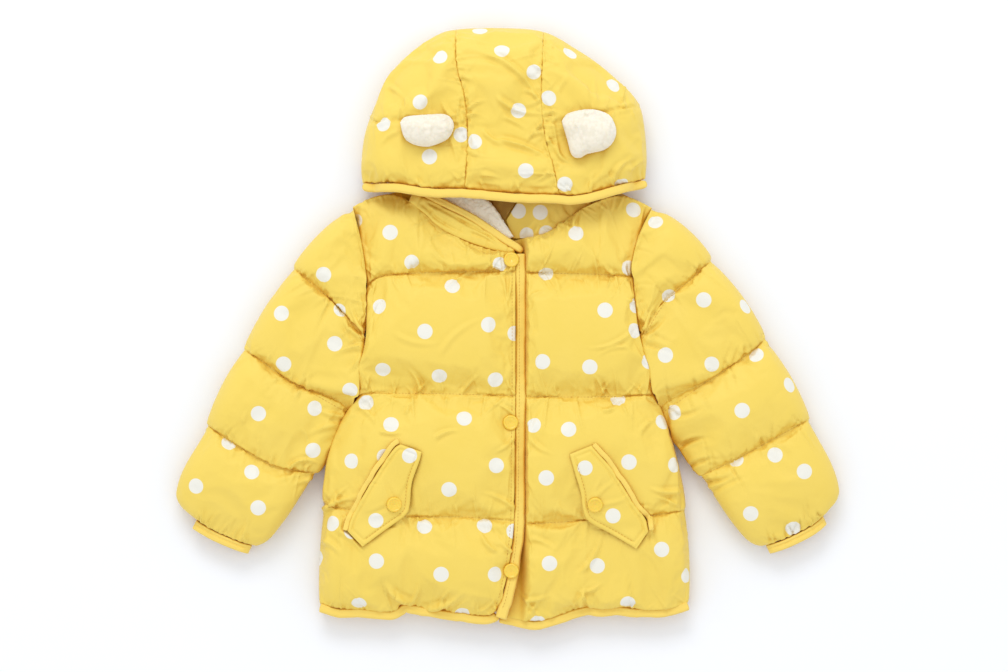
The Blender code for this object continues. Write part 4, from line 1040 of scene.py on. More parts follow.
def cuff(name, node_name, seam, outward, seed):
    """The gathered band round the sleeve's end, with its flat opening."""
    line = curve(seam)
    out = np.array(outward) / np.linalg.norm(outward)
    middle = (CUFF_BOTTOM + CUFF_TOP) / 2
    around = np.concatenate([spread(CUFF_POINTS, 0.6), spread(CUFF_POINTS, 0.6)[1:-1][::-1]])
    upper = np.arange(len(around)) < CUFF_POINTS
    rows = []
    ripples = uneven(np.arange(len(around) + 1) * 1.6, 2.6, seed)
    ripples[-1] = ripples[0]
    profile = (
        (0.3, 0.3), (1.0, 0.85), (2.2, 0.95), (3.2, 0.7), (3.8, 0.1), (4.4, 0.65), (5.6, 1.0), (7.2, 0.95),
        (8.4, 0.6), (CUFF_LENGTH, 0.15),
    )
    for reach, full in profile:
        p = at(line, 0.02 + 0.96 * around) + out * reach
        rise = rounded(np.minimum(around, 1 - around), 0.2) * ((CUFF_TOP - CUFF_BOTTOM) / 2 - 1.6 + 1.4 * full)
        rise = rise + 0.45 * ripples[:-1] * full * (rise > 1)
        z = middle + np.where(upper, 1, -1) * rise
        rows.append(np.column_stack([p, z]))
    for reach in (CUFF_LENGTH, 0.3):
        q = at(line, 0.07 + 0.86 * around) + out * reach
        side = np.where((around > 0) & (around < 1), SLEEVE_SLOT / 2, 0) * np.where(upper, 1, -1)
        rows.append(np.column_stack([q, middle + side]))
    rows.append(rows[0])
    rings = np.array(rows)
    rings = np.concatenate([rings, rings[:, :1]], axis=1)
    piece = cloth_grid(name, rings, tube=True)
    with edited(piece):
        pass
    refine(piece)
    # Painted shade: the cuff's tape is drawn a little darker, for the shade it lies in.
    paint_tape_shade(piece, 0.76)
    finish(piece, node_name, tape)


cuff("tape_cuff_right", "cuff_right", RIGHT_SLEEVE_SEAMS[-1], (-0.42, -0.9), 3)
cuff("tape_cuff_left", "cuff_left", LEFT_SLEEVE_SEAMS[-1], (0.42, -0.9), 4)


# ------------------------------------------------------------------ hood panels
# Three padded panels sewn edge to edge. A level seam across each side panel holds an ear. The
# panels' lower half is folded under them, so the crown's fold is the outline at the top.

HOOD_EDGE = 17.0
HOOD_TOP = 50.0
HOOD_MOUTH = 51.0
HOOD_WALL = 12.0
HOOD_ROUNDING = 46.0
HOOD_INSIDE_TOP = 38.0
HOOD_OUTLINE = (
    (-132, 131), (-133, 148), (-130, 174), (-122, 198), (-108, 228), (-88, 249), (-66, 264), (-48, 269.5),
    (-10, 271), (31, 267.5), (62, 251), (85, 235), (109, 213), (118, 200), (122, 181), (124, 155), (123, 135),
)
FACE_EDGE = (
    (-132, 131), (-100, 130), (-76, 126), (-40, 125), (-4, 122), (30, 120), (45, 119.5), (62, 119.5),
    (82, 124), (123, 135),
)
FOLD_EDGE = ((-133, 148), (-100, 135), (-60, 131), (-20, 129), (20, 128), (55, 128), (92, 133), (124, 155))
HOOD_RIGHT_SEAM = ((-48, 269.5), (-46.5, 235), (-40, 208), (-37, 180), (-38, 150), (-40, 125))
HOOD_LEFT_SEAM = ((31, 267.5), (30, 240), (29, 205), (32, 172), (39, 147), (45, 119.5))
CROWN_CORNERS = (5, 7, 9, 11)
SEAM_FEET = (3, 6)
RIGHT_EAR_SEAM = ((-130, 186), (-100, 186), (-70, 185), (-37, 184))
LEFT_EAR_SEAM = ((31, 182), (60, 187), (90, 194), (119, 200))
HOOD_RIGHT_FOLDS = (
    (-107, 217, -95, 207, 1, 1.4, 3.0),
    (-92, 206, -93, 194, 1, 1.2, 2.6),
    (-106, 187, -122, 182, 1, 1.3, 2.8),
    (-50, 185, -40, 186, 0, 1.4, 2.4),
    (-52, 190, -60, 208, 2, 1.1, 3.0),
    (-100, 176, -116, 162, -2, 1.4, 3.4),
    (-52, 170, -46, 146, 1, 1.3, 3.2),
    (-83, 133, -74, 126, -1, 1.6, 2.6),
    (-104, 132, -112, 144, 1, 1.0, 2.6),
    (-44, 134, -52, 142, 1, 1.0, 2.4),
)
HOOD_CENTER_FOLDS = (
    (-17, 244, 28, 199, 7, 2.4, 3.4),
    (15, 213, 27, 205, 1, 1.5, 2.6),
    (-8, 204, 33, 192, -4, 2.2, 3.2),
    (-4, 189, 17, 177, 1, 1.4, 3.0),
    (-8, 168, 39, 148, 4, 2.6, 3.4),
    (-22, 175, 2, 161, -2, 1.6, 3.0),
    (-37, 196, -19, 204, 2, 1.6, 2.8),
    (-38, 190, -28, 192, 0, 1.3, 2.4),
    (-24, 138, -8, 134, 1, 1.6, 2.8),
    (33, 176, 12, 168, -2, 1.5, 3.0),
    (-40, 160, -26, 154, 1, 1.2, 2.6),
    (30, 232, 18, 240, 1, 1.0, 2.6),
    (-44, 226, -30, 220, 1, 1.0, 2.8),
    (36, 140, 20, 130, 1, 1.1, 2.6),
)
HOOD_LEFT_FOLDS = (
    (31, 193, 48, 192, 1, 1.7, 2.6),
    (31, 182, 46, 182.5, -1, 1.6, 2.6),
    (34, 169, 40, 163, 0, 1.6, 2.6),
    (42, 163, 55, 148, -3, 1.9, 3.0),
    (93, 134, 109, 152, 3, 2.2, 3.2),
    (108, 142, 122, 152, 1, 1.3, 2.8),
    (72, 126, 76, 142, 1, 1.2, 2.6),
    (53, 124, 56, 134, 0, 1.3, 2.4),
    (96, 194, 116, 199, -1, 1.4, 2.6),
    (104, 198, 102, 214, 1, 1.0, 2.6),
    (78, 202, 77, 228, 1, 0.8, 2.8),
    (44, 212, 54, 226, 1, 0.9, 3.0),
)
HOOD_RIGHT_DOTS = ((-62, 243), (-79, 202), (-113, 183), (-43, 173), (-71, 154))
HOOD_CENTER_DOTS = ((-26, 269), (-7, 249), (22, 229), (8, 195), (-31, 167), (15, 141))
HOOD_LEFT_DOTS = ((35, 205), (54, 247), (93, 218), (50, 129), (100, 130))

hood_outline = curve(HOOD_OUTLINE)
face_edge = curve(FACE_EDGE)


def stretch(line, first, last, pieces=24):
    """The part of a smooth curve between two of the points it was drawn through."""
    return line[first * pieces : last * pieces + 1]


def hood_height(xy, top, inset=0.0):
    """A dome over the hood's outline that comes down a little to the face edge."""
    from_outline = distance_to(xy, hood_outline) - inset
    crown = top - (HOOD_TOP - HOOD_MOUTH) * (1 - ease((xy[..., 1] - 118) / 60))
    return HOOD_EDGE + (crown - HOOD_EDGE) * rounded(from_outline, HOOD_ROUNDING)


def hood_inside(xy):
    """The inside of the panels on top."""
    return hood_height(xy, HOOD_INSIDE_TOP, HOOD_WALL)


def patch(left, right, top, bottom, rows, columns):
    """A grid of points inside four joined edges (a Coons patch), rows down from the top."""
    v, s = spread(rows, 0.35)[:, None, None], spread(columns, 0.35)[None, :, None]
    sides = at(left, v[:, 0, 0])[:, None] * (1 - s) + at(right, v[:, 0, 0])[:, None] * s
    ends = at(top, s[0, :, 0])[None] * (1 - v) + at(bottom, s[0, :, 0])[None] * v
    corners = (top[0] * (1 - s) + top[-1] * s) * (1 - v) + (bottom[0] * (1 - s) + bottom[-1] * s) * v
    return sides + ends - corners


def walled(piece, base, way=-1, least=0.6):
    """Gives a panel its other face: a copy at the base's heights, a least distance down or up."""
    with edited(piece) as bm:
        moved = verts_in(bmesh.ops.extrude_face_region(bm, geom=bm.faces[:])["geom"])
        xy = np.array([v.co[:2] for v in moved]) / MM + TABLE_POINT[:2]
        for vert, z in zip(moved, base(xy)):
            vert.co.z = way * max(way * z * MM, way * vert.co.z + least * MM)


def hood_panel(name, edges, seamed, folds, spots, seed, ear_seam=None):
    """A top panel of the hood between its left, right, crown and face edges."""
    xy = patch(*edges, 60, 40)
    base = hood_inside(xy)
    z = hood_height(xy, HOOD_TOP) + THIN
    settled = rounded(z - HOOD_EDGE - THIN, 20.0)
    seams = [edge for edge, sewn in zip(edges[:2], seamed) if sewn]
    to_seam = np.min([distance_to(xy, seam) for seam in seams], axis=0)
    z = z - 2.6 * (1 - rounded(to_seam, 13.0)) * settled
    to_face = distance_to(xy, face_edge)
    bound = rounded(to_face, 26.0)
    z = np.minimum(z, base + 5.0) * (1 - bound) + z * bound
    held = (np.minimum(to_seam, to_face) < 0.8) | (distance_to(xy, hood_outline) < 0.5)
    if ear_seam:
        to_ear_seam = distance_to(xy, curve(ear_seam))
        z = z - 2.2 * np.exp(-((to_ear_seam / 3.0) ** 2)) * settled
        held = held | (to_ear_seam < 1.1)
    piece = cloth_grid(name, np.dstack([xy, np.maximum(z, base + THIN)]))
    settle(piece, held.astype(float))
    refine(piece)
    crease(piece, folds, sharp=0.6, strong=1.4)
    for i, edge in enumerate([*seams, edges[3], *([curve(ear_seam)] if ear_seam else [])]):
        line = at(edge, np.linspace(0, 1, 9))
        small = puckers(line, seed + 5 + i) + creases(line, seed + 195 + i)
        crease(piece, gathers(line, seed + i, reach=(5, 20)) + small)
    p = places(piece.data)
    p[:, 2] = np.maximum(p[:, 2], hood_inside(p[:, :2]) + 1.0)
    move_to(piece.data, p)
    print_spots(piece, spots)
    walled(piece, hood_inside)
    padded_cloth(piece, name.replace("cloth_", ""))
    return piece


seams = [curve(HOOD_RIGHT_SEAM), curve(HOOD_LEFT_SEAM)]
gap = np.array([-0.25, 0.0])
first, second, third, fourth = CROWN_CORNERS
ends = len(HOOD_OUTLINE) - 1, len(FACE_EDGE) - 1
side = stretch(hood_outline, 0, first)[::-1]
seam = seams[0] - gap
top = np.vstack([stretch(hood_outline, first, second)[:-1], seam[:1]])
bottom = np.vstack([stretch(face_edge, 0, SEAM_FEET[0])[:-1], seam[-1:]])
hood_right = hood_panel(
    "cloth_hood_right", (side, seam, top, bottom), (False, True), HOOD_RIGHT_FOLDS, HOOD_RIGHT_DOTS, 80,
    RIGHT_EAR_SEAM,
)
top = stretch(hood_outline, second, third)
bottom = stretch(face_edge, *SEAM_FEET)
hood_panel("cloth_hood_center", (*seams, top, bottom), (True, True), HOOD_CENTER_FOLDS, HOOD_CENTER_DOTS, 90)
side = stretch(hood_outline, fourth, ends[0])
seam = seams[1] + gap
top = np.vstack([seam[:1], stretch(hood_outline, third, fourth)[1:]])
bottom = np.vstack([seam[-1:], stretch(face_edge, SEAM_FEET[1], ends[1])[1:]])
hood_left = hood_panel(
    "cloth_hood_left", (seam, side, top, bottom), (True, False), HOOD_LEFT_FOLDS, HOOD_LEFT_DOTS, 100,
    LEFT_EAR_SEAM,
)


# ------------------------------------------------------------------ the hood's folded half
# The crown half of the same three panels, folded under the half that shows. It is pressed flat
# on the table and rounds up to the fold round its edge.

first, last = CROWN_CORNERS[0], CROWN_CORNERS[-1]
xy = patch(
    stretch(hood_outline, 1, first)[::-1],
    stretch(hood_outline, last, len(HOOD_OUTLINE) - 2),
    stretch(hood_outline, first, last),
    curve(FOLD_EDGE),
    36, 58,
)
to_outline = distance_to(xy, hood_outline)
lift = (HOOD_EDGE - 2.0) * (1 - rounded(to_outline, UNDER_ROUNDING))
to_seams = np.minimum(distance_to(xy, seams[0]), distance_to(xy, seams[1]))
lift = np.maximum(lift, 2.0 * (1 - rounded(to_seams, 8.0)))
hood_under = cloth_grid("cloth_hood_under", np.dstack([xy, lift]))
refine(hood_under)
for i, edge in enumerate((HOOD_RIGHT_SEAM, HOOD_LEFT_SEAM)):
    crease(hood_under, gathers(edge, 110 + i, depth=(0.4, 0.9)), only=lambda p: p[:, 2] > 0.1)
p = places(hood_under.data)
p[:, 2] = np.maximum(p[:, 2], 0)
move_to(hood_under.data, p)
print_spots(hood_under, (), hidden=lambda p: p[:, 2] < 99, seed=9)


MOUTH_Y = 129
MOUTH_TOP = 15.2


def folded_top(xy):
    """The folded half's hidden face, just under the panels that lie on it."""
    highest = hood_inside(xy) - 2.6
    from_mouth = rounded(np.maximum(xy[:, 1] - MOUTH_Y, 0), 22.0)
    top = MOUTH_TOP + (highest - MOUTH_TOP) * from_mouth
    edge = distance_to(xy, hood_outline) < 0.6
    return np.where(edge, HOOD_EDGE - 0.3, top)


walled(hood_under, folded_top, way=1, least=0.8)
padded_cloth(hood_under, "hood_under")


# ------------------------------------------------------------------ ears and fleece lining
# Cream sherpa fleece: short polyester pile clumped into small curls. Each ear is a soft pad of
# it, caught in the side panel's level seam. The same fleece lines the hood and shows at the neck.

FLEECE_CURL = 2.3
RIGHT_EAR_OUTLINE = (
    (-98, 184), (-94, 189), (-84, 191), (-71, 192), (-57, 192), (-50, 187), (-48.5, 179), (-53, 170),
    (-62, 164.5), (-73, 161.5), (-85, 163.5), (-94, 170),
)
LEFT_EAR_OUTLINE = (
    (46, 185), (51, 192), (64, 196), (78, 196), (90, 191), (96, 179), (94.5, 168), (86, 159), (70, 155),
    (62, 151.5), (55, 155), (50.5, 170),
)
EARS = (
    ("right", hood_right, RIGHT_EAR_OUTLINE, (-73.5, 178), 15.0),
    ("left", hood_left, LEFT_EAR_OUTLINE, (73, 177), 17.0),
)

fleece, tree, shader = new_finish("sherpa_fleece")
place = node(tree, "ShaderNodeTexCoord").outputs["Object"]
# Painted shade: the cream is drawn a little darker where the pile sits low between curls, and darkened in folds.
pile = node(tree, "ShaderNodeAttribute", attribute_name="curl").outputs["Fac"]
cream = node(
    tree, "ShaderNodeMix", [(0, pile)], {6: linear("#e6dfcd"), 7: linear("#ece6d6")}, data_type="RGBA"
)
tree.links.new(painted_fold_shade(tree, cream.outputs[2], deep=(0.95, 0.86, 0.66, 1.0)), shader.inputs["Base Color"])
# Single fibres are 0.02 mm thick, and are drawn as tufts of about 0.5 mm so that they show
fibres = node(tree, "ShaderNodeTexNoise", [("Vector", place)], {"Scale": 900.0, "Detail": 3.0, "Distortion": 1.5})
pile_bump = node(
    tree, "ShaderNodeBump", [("Height", fibres.outputs["Fac"])], {"Strength": 0.6, "Distance": 0.0006}
)
tree.links.new(pile_bump.outputs[0], shader.inputs["Normal"])
shader.inputs["Roughness"].default_value = 0.95
shader.inputs["Specular IOR Level"].default_value = 0.1
shader.inputs["Sheen Weight"].default_value = 0.35
shader.inputs["Subsurface Weight"].default_value = 0.15
shader.inputs["Subsurface Radius"].default_value = (0.004, 0.003, 0.002)
shader.inputs["Subsurface Scale"].default_value = 1.0


def curled(piece, seed, depth=0.24):
    """Raises the pile into uneven curls, and keeps how high each point stands in its curl."""
    mesh = piece.data
    luck = np.random.default_rng(seed)
    p = places(mesh)
    area = sum(f.area for f in mesh.polygons) / MM**2
    roots = luck.choice(len(p), int(area / FLEECE_CURL**2 * 1.25))
    sizes = luck.uniform(0.7, 1.25, len(roots))
    near = KDTree(len(roots))
    for i, index in enumerate(roots):
        near.insert(p[index], i)
    near.balance()
    curl = np.zeros(len(p))
    for i, point in enumerate(p):
        for _, root, far in near.find_n(point, 3):
            r = far / (0.78 * FLEECE_CURL * sizes[root])
            if r < 1:
                curl[i] = max(curl[i], math.sqrt(1 - r * r) * sizes[root])
        curl[i] += 0.25 * noise.noise(Vector(point) * 0.8)
    raised(piece, p, depth * (curl - 0.4))
    layer = mesh.attributes.new("curl", "FLOAT", "POINT")
    layer.data.foreach_set("value", np.clip(curl, 0, 1).astype(np.float32))


for side_name, panel, outline, middle, thickness in EARS:
    under_it = skin(panel)
    loop = curve([*outline, outline[0]]) - middle
    turn = np.unwrap(np.arctan2(loop[:, 1], loop[:, 0]))
    order = np.argsort(turn % math.tau)
    turns, reaches = (turn % math.tau)[order], np.linalg.norm(loop, axis=1)[order]
    bm = bmesh.new()
    bmesh.ops.create_icosphere(bm, subdivisions=6, radius=1.0)
    for vert in bm.verts:
        flat, level = vert.co.xy, vert.co.z
        angle = math.atan2(flat.y, flat.x) % math.tau
        reach = float(np.interp(angle, turns, reaches, period=math.tau)) - 1.0
        far = flat.length**0.9 * reach
        x, y = middle[0] + math.cos(angle) * far, middle[1] + math.sin(angle) * far
        hit = drop(under_it, x, y)
        rise = 0.22 + 0.78 * level if level > 0 else 0.22 * (1 + level)
        sewn = 1 - 0.35 * ease((y - middle[1]) / 14)
        base = hit.z if hit else 40.0
        vert.co = (Vector((x, y, base + 1.6 + thickness * rise * sewn)) - Vector(TABLE_POINT)) * MM
    ear = put(f"fleece_ear_{side_name}", bm)
    curled(ear, seed=len(side_name))
    finish(ear, f"ear_{side_name}", fleece)


# ------------------------------------------------------------------ the neck
# The hood's two lower corners close round the throat, the right one over the left. Each is the
# hood's padded cloth with a bound edge. Between them the hood's fleece lining shows.

RIGHT_COLLAR_SEAM = ((-90, 115), (-76, 103.8), (-61, 90.4), (-39, 79.4), (-19, 72.4), (-8, 69.8), (5, 67.6))
RIGHT_COLLAR_EDGE = (
    (-86, 123.5), (-68, 114.5), (-51.5, 106.2), (-34.2, 97.2), (-16.5, 85.5), (-6, 78), (5, 71.4),
)
RIGHT_COLLAR_TIP = (10, 67)
LEFT_COLLAR_SEAM = ((3, 81.5), (12, 81.7), (22, 83), (34, 86.6), (48, 95.5), (61, 104.6), (75, 112.6))
LEFT_COLLAR_EDGE = ((-2.6, 97.5), (5.5, 111), (13, 121), (26, 122.5), (42, 122.5), (58, 122), (72, 121.5))
LEFT_TURNED_EDGE = ((-5.5, 95.5), (-10, 103), (-15, 112), (-18, 124))
FLEECE_LOWER = ((-66, 112), (-40, 104), (-24, 94.5), (-11, 86.5), (0, 81))
FLEECE_UPPER = ((-66, 122), (-45, 121), (-28, 119), (-15, 112), (4, 83))
COLLAR_LOW = 16.6
FLEECE_BOTTOM = 16.9
FLEECE_TOP = 20.9
COLLAR_BOTTOM = 21.2
LEFT_COLLAR_DOTS = ((9, 106), (28, 105), (16, 85), (35, 83))
RIGHT_COLLAR_FOLDS = (
    (-72, 113, -28, 86, 2, 2.0, 1.7),
    (-44, 98, -6, 75, 1, 1.7, 1.5),
    (-68, 101, -36, 84, -1, 1.6, 1.5),
    (-34, 86, -12, 75, 1, 1.2, 1.3),
    (-60, 111, -34, 97, 1, 1.2, 1.6),
    (-78, 112, -64, 97, 1, 1.5, 1.8),
    (-24, 90, -8, 78, -1, 1.1, 1.2),
)
LEFT_COLLAR_FOLDS = (
    (20, 88, 26, 98, 0, 1.2, 2.0),
    (40, 96, 38, 110, 1, 1.4, 2.4),
    (54, 104, 50, 118, 1, 1.2, 2.4),
)


def laid(name, lower, upper, bottom, top, spacing=1.3, roll=5.0, sewn=0.0):
    """A soft patch between two edges, with rolled edges, except a sewn lower one."""
    low, high = curve(lower), curve(upper)
    s = spread(int(max(lengths(low)[-1], lengths(high)[-1]) / spacing) + 2)
    depth = np.linalg.norm(at(high, s) - at(low, s), axis=1)
    v = spread(max(int(depth.max() / spacing), 6) + 1)[:, None]
    xy = at(low, s)[None] * (1 - v[..., None]) + at(high, s)[None] * v[..., None]
    to_edge = np.minimum(v * depth[None] + sewn, (1 - v) * depth[None])
    to_edge = np.minimum(to_edge, np.minimum(s, 1 - s)[None] * 80)
    base, crown = bottom(xy), top(xy)
    z = base + THIN + (crown - base - THIN) * (0.6 + 0.4 * rounded(to_edge, roll))
    return cloth_grid(name, np.dstack([xy, z]))


def level(height):
    """A function that gives any points the same height."""
    return lambda xy: np.full(xy.shape[:-1], height)


collar_left = laid(
    "cloth_collar_left", LEFT_COLLAR_SEAM, LEFT_COLLAR_EDGE, level(INSIDE),
    lambda xy: COLLAR_LOW + 6.5 * ease((xy[..., 0] - 8) / 18), sewn=4.0,
)
refine(collar_left)
crease(collar_left, [*LEFT_COLLAR_FOLDS, *gathers(LEFT_COLLAR_SEAM, 120, sides=(1,), depth=(0.3, 0.7))])
print_spots(collar_left, LEFT_COLLAR_DOTS)
walled(collar_left, level(INSIDE))
padded_cloth(collar_left, "collar_left")

collar_right = laid(
    "cloth_collar_right", RIGHT_COLLAR_SEAM, RIGHT_COLLAR_EDGE, level(COLLAR_BOTTOM),
    level(COLLAR_BOTTOM + 7.5), sewn=1.0,
)
refine(collar_right)
crease(collar_right, [*RIGHT_COLLAR_FOLDS, *gathers(RIGHT_COLLAR_SEAM, 121, sides=(1,), depth=(0.3, 0.7))])
print_spots(collar_right, ())
walled(collar_right, level(COLLAR_BOTTOM))
padded_cloth(collar_right, "collar_right")

lining = laid(
    "fleece_lining", FLEECE_LOWER, FLEECE_UPPER, level(FLEECE_BOTTOM), level(FLEECE_TOP + 2.0), spacing=1.0,
    roll=3.0,
)
refine(lining)
curled(lining, seed=8, depth=0.4)
walled(lining, level(FLEECE_BOTTOM))
finish(lining, "hood_fleece", fleece)


# ------------------------------------------------------------------ bound edges
# Mustard twill tape folded over each raw edge and topstitched: the placket, the three hem
# edges, the hood's face and its two corners. It waves a little where the cloth is gathered.

TAPE_WIDTH = 8.0
PLACKET_TAPE_WIDTH = 10.4
HEM_TAPE_WIDTH = 8.4
COLLAR_TAPE_WIDTH = 7.0
PLACKET_FOOT = (-12, -259)


def panel_edge(seams, puffs, column):
    """One side edge of a quilted panel, as points from its top to its hem."""
    return quilted(seams, puffs, shares=np.array([0.0, 0.5, 1.0]), spacing=6.0)["xy"][:, column]


def beside(points, offset):
    """The same line moved sideways by a distance, to its left as it runs."""
    line = curve(points)
    s = np.linspace(0, 1, len(points) * 5)
    p = at(line, s)
    ahead = at(line, np.minimum(s + 0.01, 1)) - at(line, np.maximum(s - 0.01, 0))
    return p + np.column_stack([-ahead[:, 1], ahead[:, 0]]) / np.linalg.norm(ahead, axis=1)[:, None] * offset


def bound_edge(
    name, node_name, points, width, low, high, seed, painted_tone, wave=0.4, last=1.0, stitched=-0.3, tapered=0.0
):
    """A tape folded over an edge: a soft flat tube with a topstitched groove along it."""
    line = curve(points, 12)
    length = lengths(line)[-1] * last
    s = np.linspace(0, last, int(length / 1.9) + 2)
    p = at(line, s)
    ahead = at(line, np.minimum(s + 0.006, 1)) - at(line, np.maximum(s - 0.006, 0))
    across = np.column_stack([ahead[:, 1], -ahead[:, 0]]) / np.linalg.norm(ahead, axis=1)[:, None]
    mm = s * lengths(line)[-1]
    aside = wave * (uneven(mm, 17, seed) + 0.5 * uneven(mm, 6, seed + 1))
    thick = 1 + 0.1 * uneven(mm, 9, seed + 2) + 0.06 * uneven(mm, 3.5, seed + 3)
    slim = 0.5 + 0.5 * rounded(np.minimum(mm, mm[-1] - mm), tapered) if tapered else np.ones(len(mm))
    rings = []
    for turn in np.linspace(0, math.tau, 23):
        side = math.copysign(abs(math.cos(turn)) ** 0.65, math.cos(turn))
        up = math.copysign(abs(math.sin(turn)) ** 0.8, math.sin(turn))
        xy = p + across * (side * width / 2 * slim + aside)[:, None]
        bottom, top = low(xy), high(xy)
        z = bottom + (top - bottom) * (0.5 + 0.5 * up * slim * np.where(up > 0, thick, 1))
        if up > 0:
            z = z - 0.7 * math.exp(-(((side - stitched) * width / 2 / 0.7) ** 2))
        rings.append(np.column_stack([xy, np.maximum(z, bottom)]))
    rings[-1] = rings[0]
    piece = cloth_grid(name, np.array(rings).transpose(1, 0, 2), tube=True)
    with edited(piece) as bm:
        bmesh.ops.holes_fill(bm, edges=rim_of(bm))
    refine(piece)
    paint_tape_shade(piece, painted_tone)
    finish(piece, node_name, tape)
    half_round = width + 0.8 * float(np.mean(high(p) - low(p)))
    return piece


placket_edge = panel_edge(RIGHT_FRONT_SEAMS, RIGHT_FRONT_PUFFS, -1)
# Painted shade: the tone given to each tape below draws the same mustard lighter or darker for the light on that
# edge.
placket = bound_edge(
    "tape_placket", "placket_binding", beside([*placket_edge, PLACKET_FOOT], PLACKET_TAPE_WIDTH / 2 - 0.5),
    PLACKET_TAPE_WIDTH, level(OVERLAP_INSIDE), level(PLACKET_HEIGHT + 1.5), 131, 0.88,
)
hem_aside = HEM_TAPE_WIDTH / 2 - 1.3
bound_edge(
    "tape_hem_right", "hem_binding_right", beside(RIGHT_FRONT_SEAMS[-1], -hem_aside), HEM_TAPE_WIDTH,
    level(INSIDE + 0.4), level(HEM_HEIGHT + 2.5), 141, 0.7, wave=0.9, last=0.955,
)
bound_edge(
    "tape_hem_left", "hem_binding_left", beside([UNDERLAP[-1], *LEFT_FRONT_SEAMS[-1]], -hem_aside),
    HEM_TAPE_WIDTH, level(INSIDE + 0.4),
    lambda xy: UNDERLAP_TOP - 0.4 + 2.8 * ease((xy[:, 0] - 6) / 12), 151, 0.7, wave=0.9,
)
bound_edge(
    "tape_hem_back", "hem_binding_back", beside(back_seams[-1], -hem_aside), HEM_TAPE_WIDTH,
    level(2.0), level(BACK_THICKNESS - 1.0), 161, 0.65, wave=0.3,
)


def under_the_face(xy):
    """The inside of the hood's panels just within the face edge, level with each point."""
    return hood_inside(np.column_stack([xy[:, 0], np.full(len(xy), 132.0)]))


bound_edge(
    "tape_hood", "hood_binding", beside(FACE_EDGE, -(TAPE_WIDTH / 2 - 0.1)), TAPE_WIDTH,
    lambda xy: under_the_face(xy) + 3.5, lambda xy: under_the_face(xy) + 11.2, 171, 1.0, wave=0.6,
    stitched=-0.5, tapered=8.0,
)
bound_edge(
    "tape_collar_right", "collar_binding_right",
    beside([*RIGHT_COLLAR_EDGE, RIGHT_COLLAR_TIP], COLLAR_TAPE_WIDTH / 2 - 0.4), COLLAR_TAPE_WIDTH,
    level(COLLAR_BOTTOM), level(COLLAR_BOTTOM + 7.0), 181, 0.9, wave=0.3, tapered=9.0,
)
collar_tape_left = laid(
    "tape_collar_left", LEFT_TURNED_EDGE, [(x - 1.2, y + 0.6) for x, y in LEFT_COLLAR_EDGE[:3]],
    level(INSIDE), level(COLLAR_LOW - 0.4), spacing=1.0, roll=2.0,
)
refine(collar_tape_left)
walled(collar_tape_left, level(INSIDE))
# Painted shade: this tape gets the darkest tone, for the deep shade in the hood's corner where it lies.
paint_tape_shade(collar_tape_left, -0.5)
finish(collar_tape_left, "collar_binding_left", tape)


# ------------------------------------------------------------------ pockets
# Each pocket is a slanted mouth with a piped lip, and a flap over it: two layers of the shell
# cloth, bagged out, pressed, topstitched 4 mm in from its edges and sewn along the mouth.

RIGHT_POCKET = (
    ((-97, -103), (-104, -108), (-119, -130), (-135, -157), (-142, -170), (-145, -181)),
    ((-78, -110), (-80, -118), (-87, -138), (-89, -158), (-93, -167), (-112, -181), (-131, -195)),
)
LEFT_POCKET = (
    ((74, -104), (92, -125), (105, -145), (113, -158), (122, -170), (125, -181)),
    ((54, -112), (58, -126), (64, -146), (66, -160), (71, -172), (92, -184), (114, -197)),
)
POCKET_STUDS = {"right": (-103, -157), "left": (77, -157)}
RIGHT_FLAP_FOLDS = (
    (-104, -150, -112, -128, 1, 0.8, 2.0),
    (-97, -152, -88, -136, 1, 0.7, 2.0),
    (-110, -160, -130, -166, 1, 0.9, 2.0),
    (-100, -164, -98, -172, 1, 0.6, 1.6),
)
LEFT_FLAP_FOLDS = (
    (78, -150, 98, -134, 1, 0.9, 2.0),
    (84, -157, 110, -150, -1, 0.9, 2.0),
    (76, -150, 84, -130, 1, 0.7, 2.0),
    (80, -162, 90, -172, 1, 0.6, 1.6),
)
RIGHT_FLAP_DOTS = ((-89, -113.5), (-119, -171))
LEFT_FLAP_DOTS = ((68, -124), (93, -167))
FLAP_THICKNESS = 3.0
FLAP_CLOTH = 2.0
TOPSTITCHED = 4.2
WELT_WIDTH = 4.6


def draped(z, reach):
    """The highest neighbour of each point of a grid, then smoothed."""
    rows, columns = z.shape
    for pick in [np.max] * reach + [np.mean] * reach * 2:
        wide = np.pad(z, 1, mode="edge")
        z = pick([wide[i : i + rows, j : j + columns] for i in range(3) for j in range(3)], axis=0)
    return z


def heights(surface, xy, missing=15.0):
    """How high a surface is at some points, or a height to take where it is missing."""
    hits = [drop(surface, x, y) for x, y in xy.reshape(-1, 2)]
    return np.array([hit.z if hit else missing for hit in hits]).reshape(xy.shape[:-1])


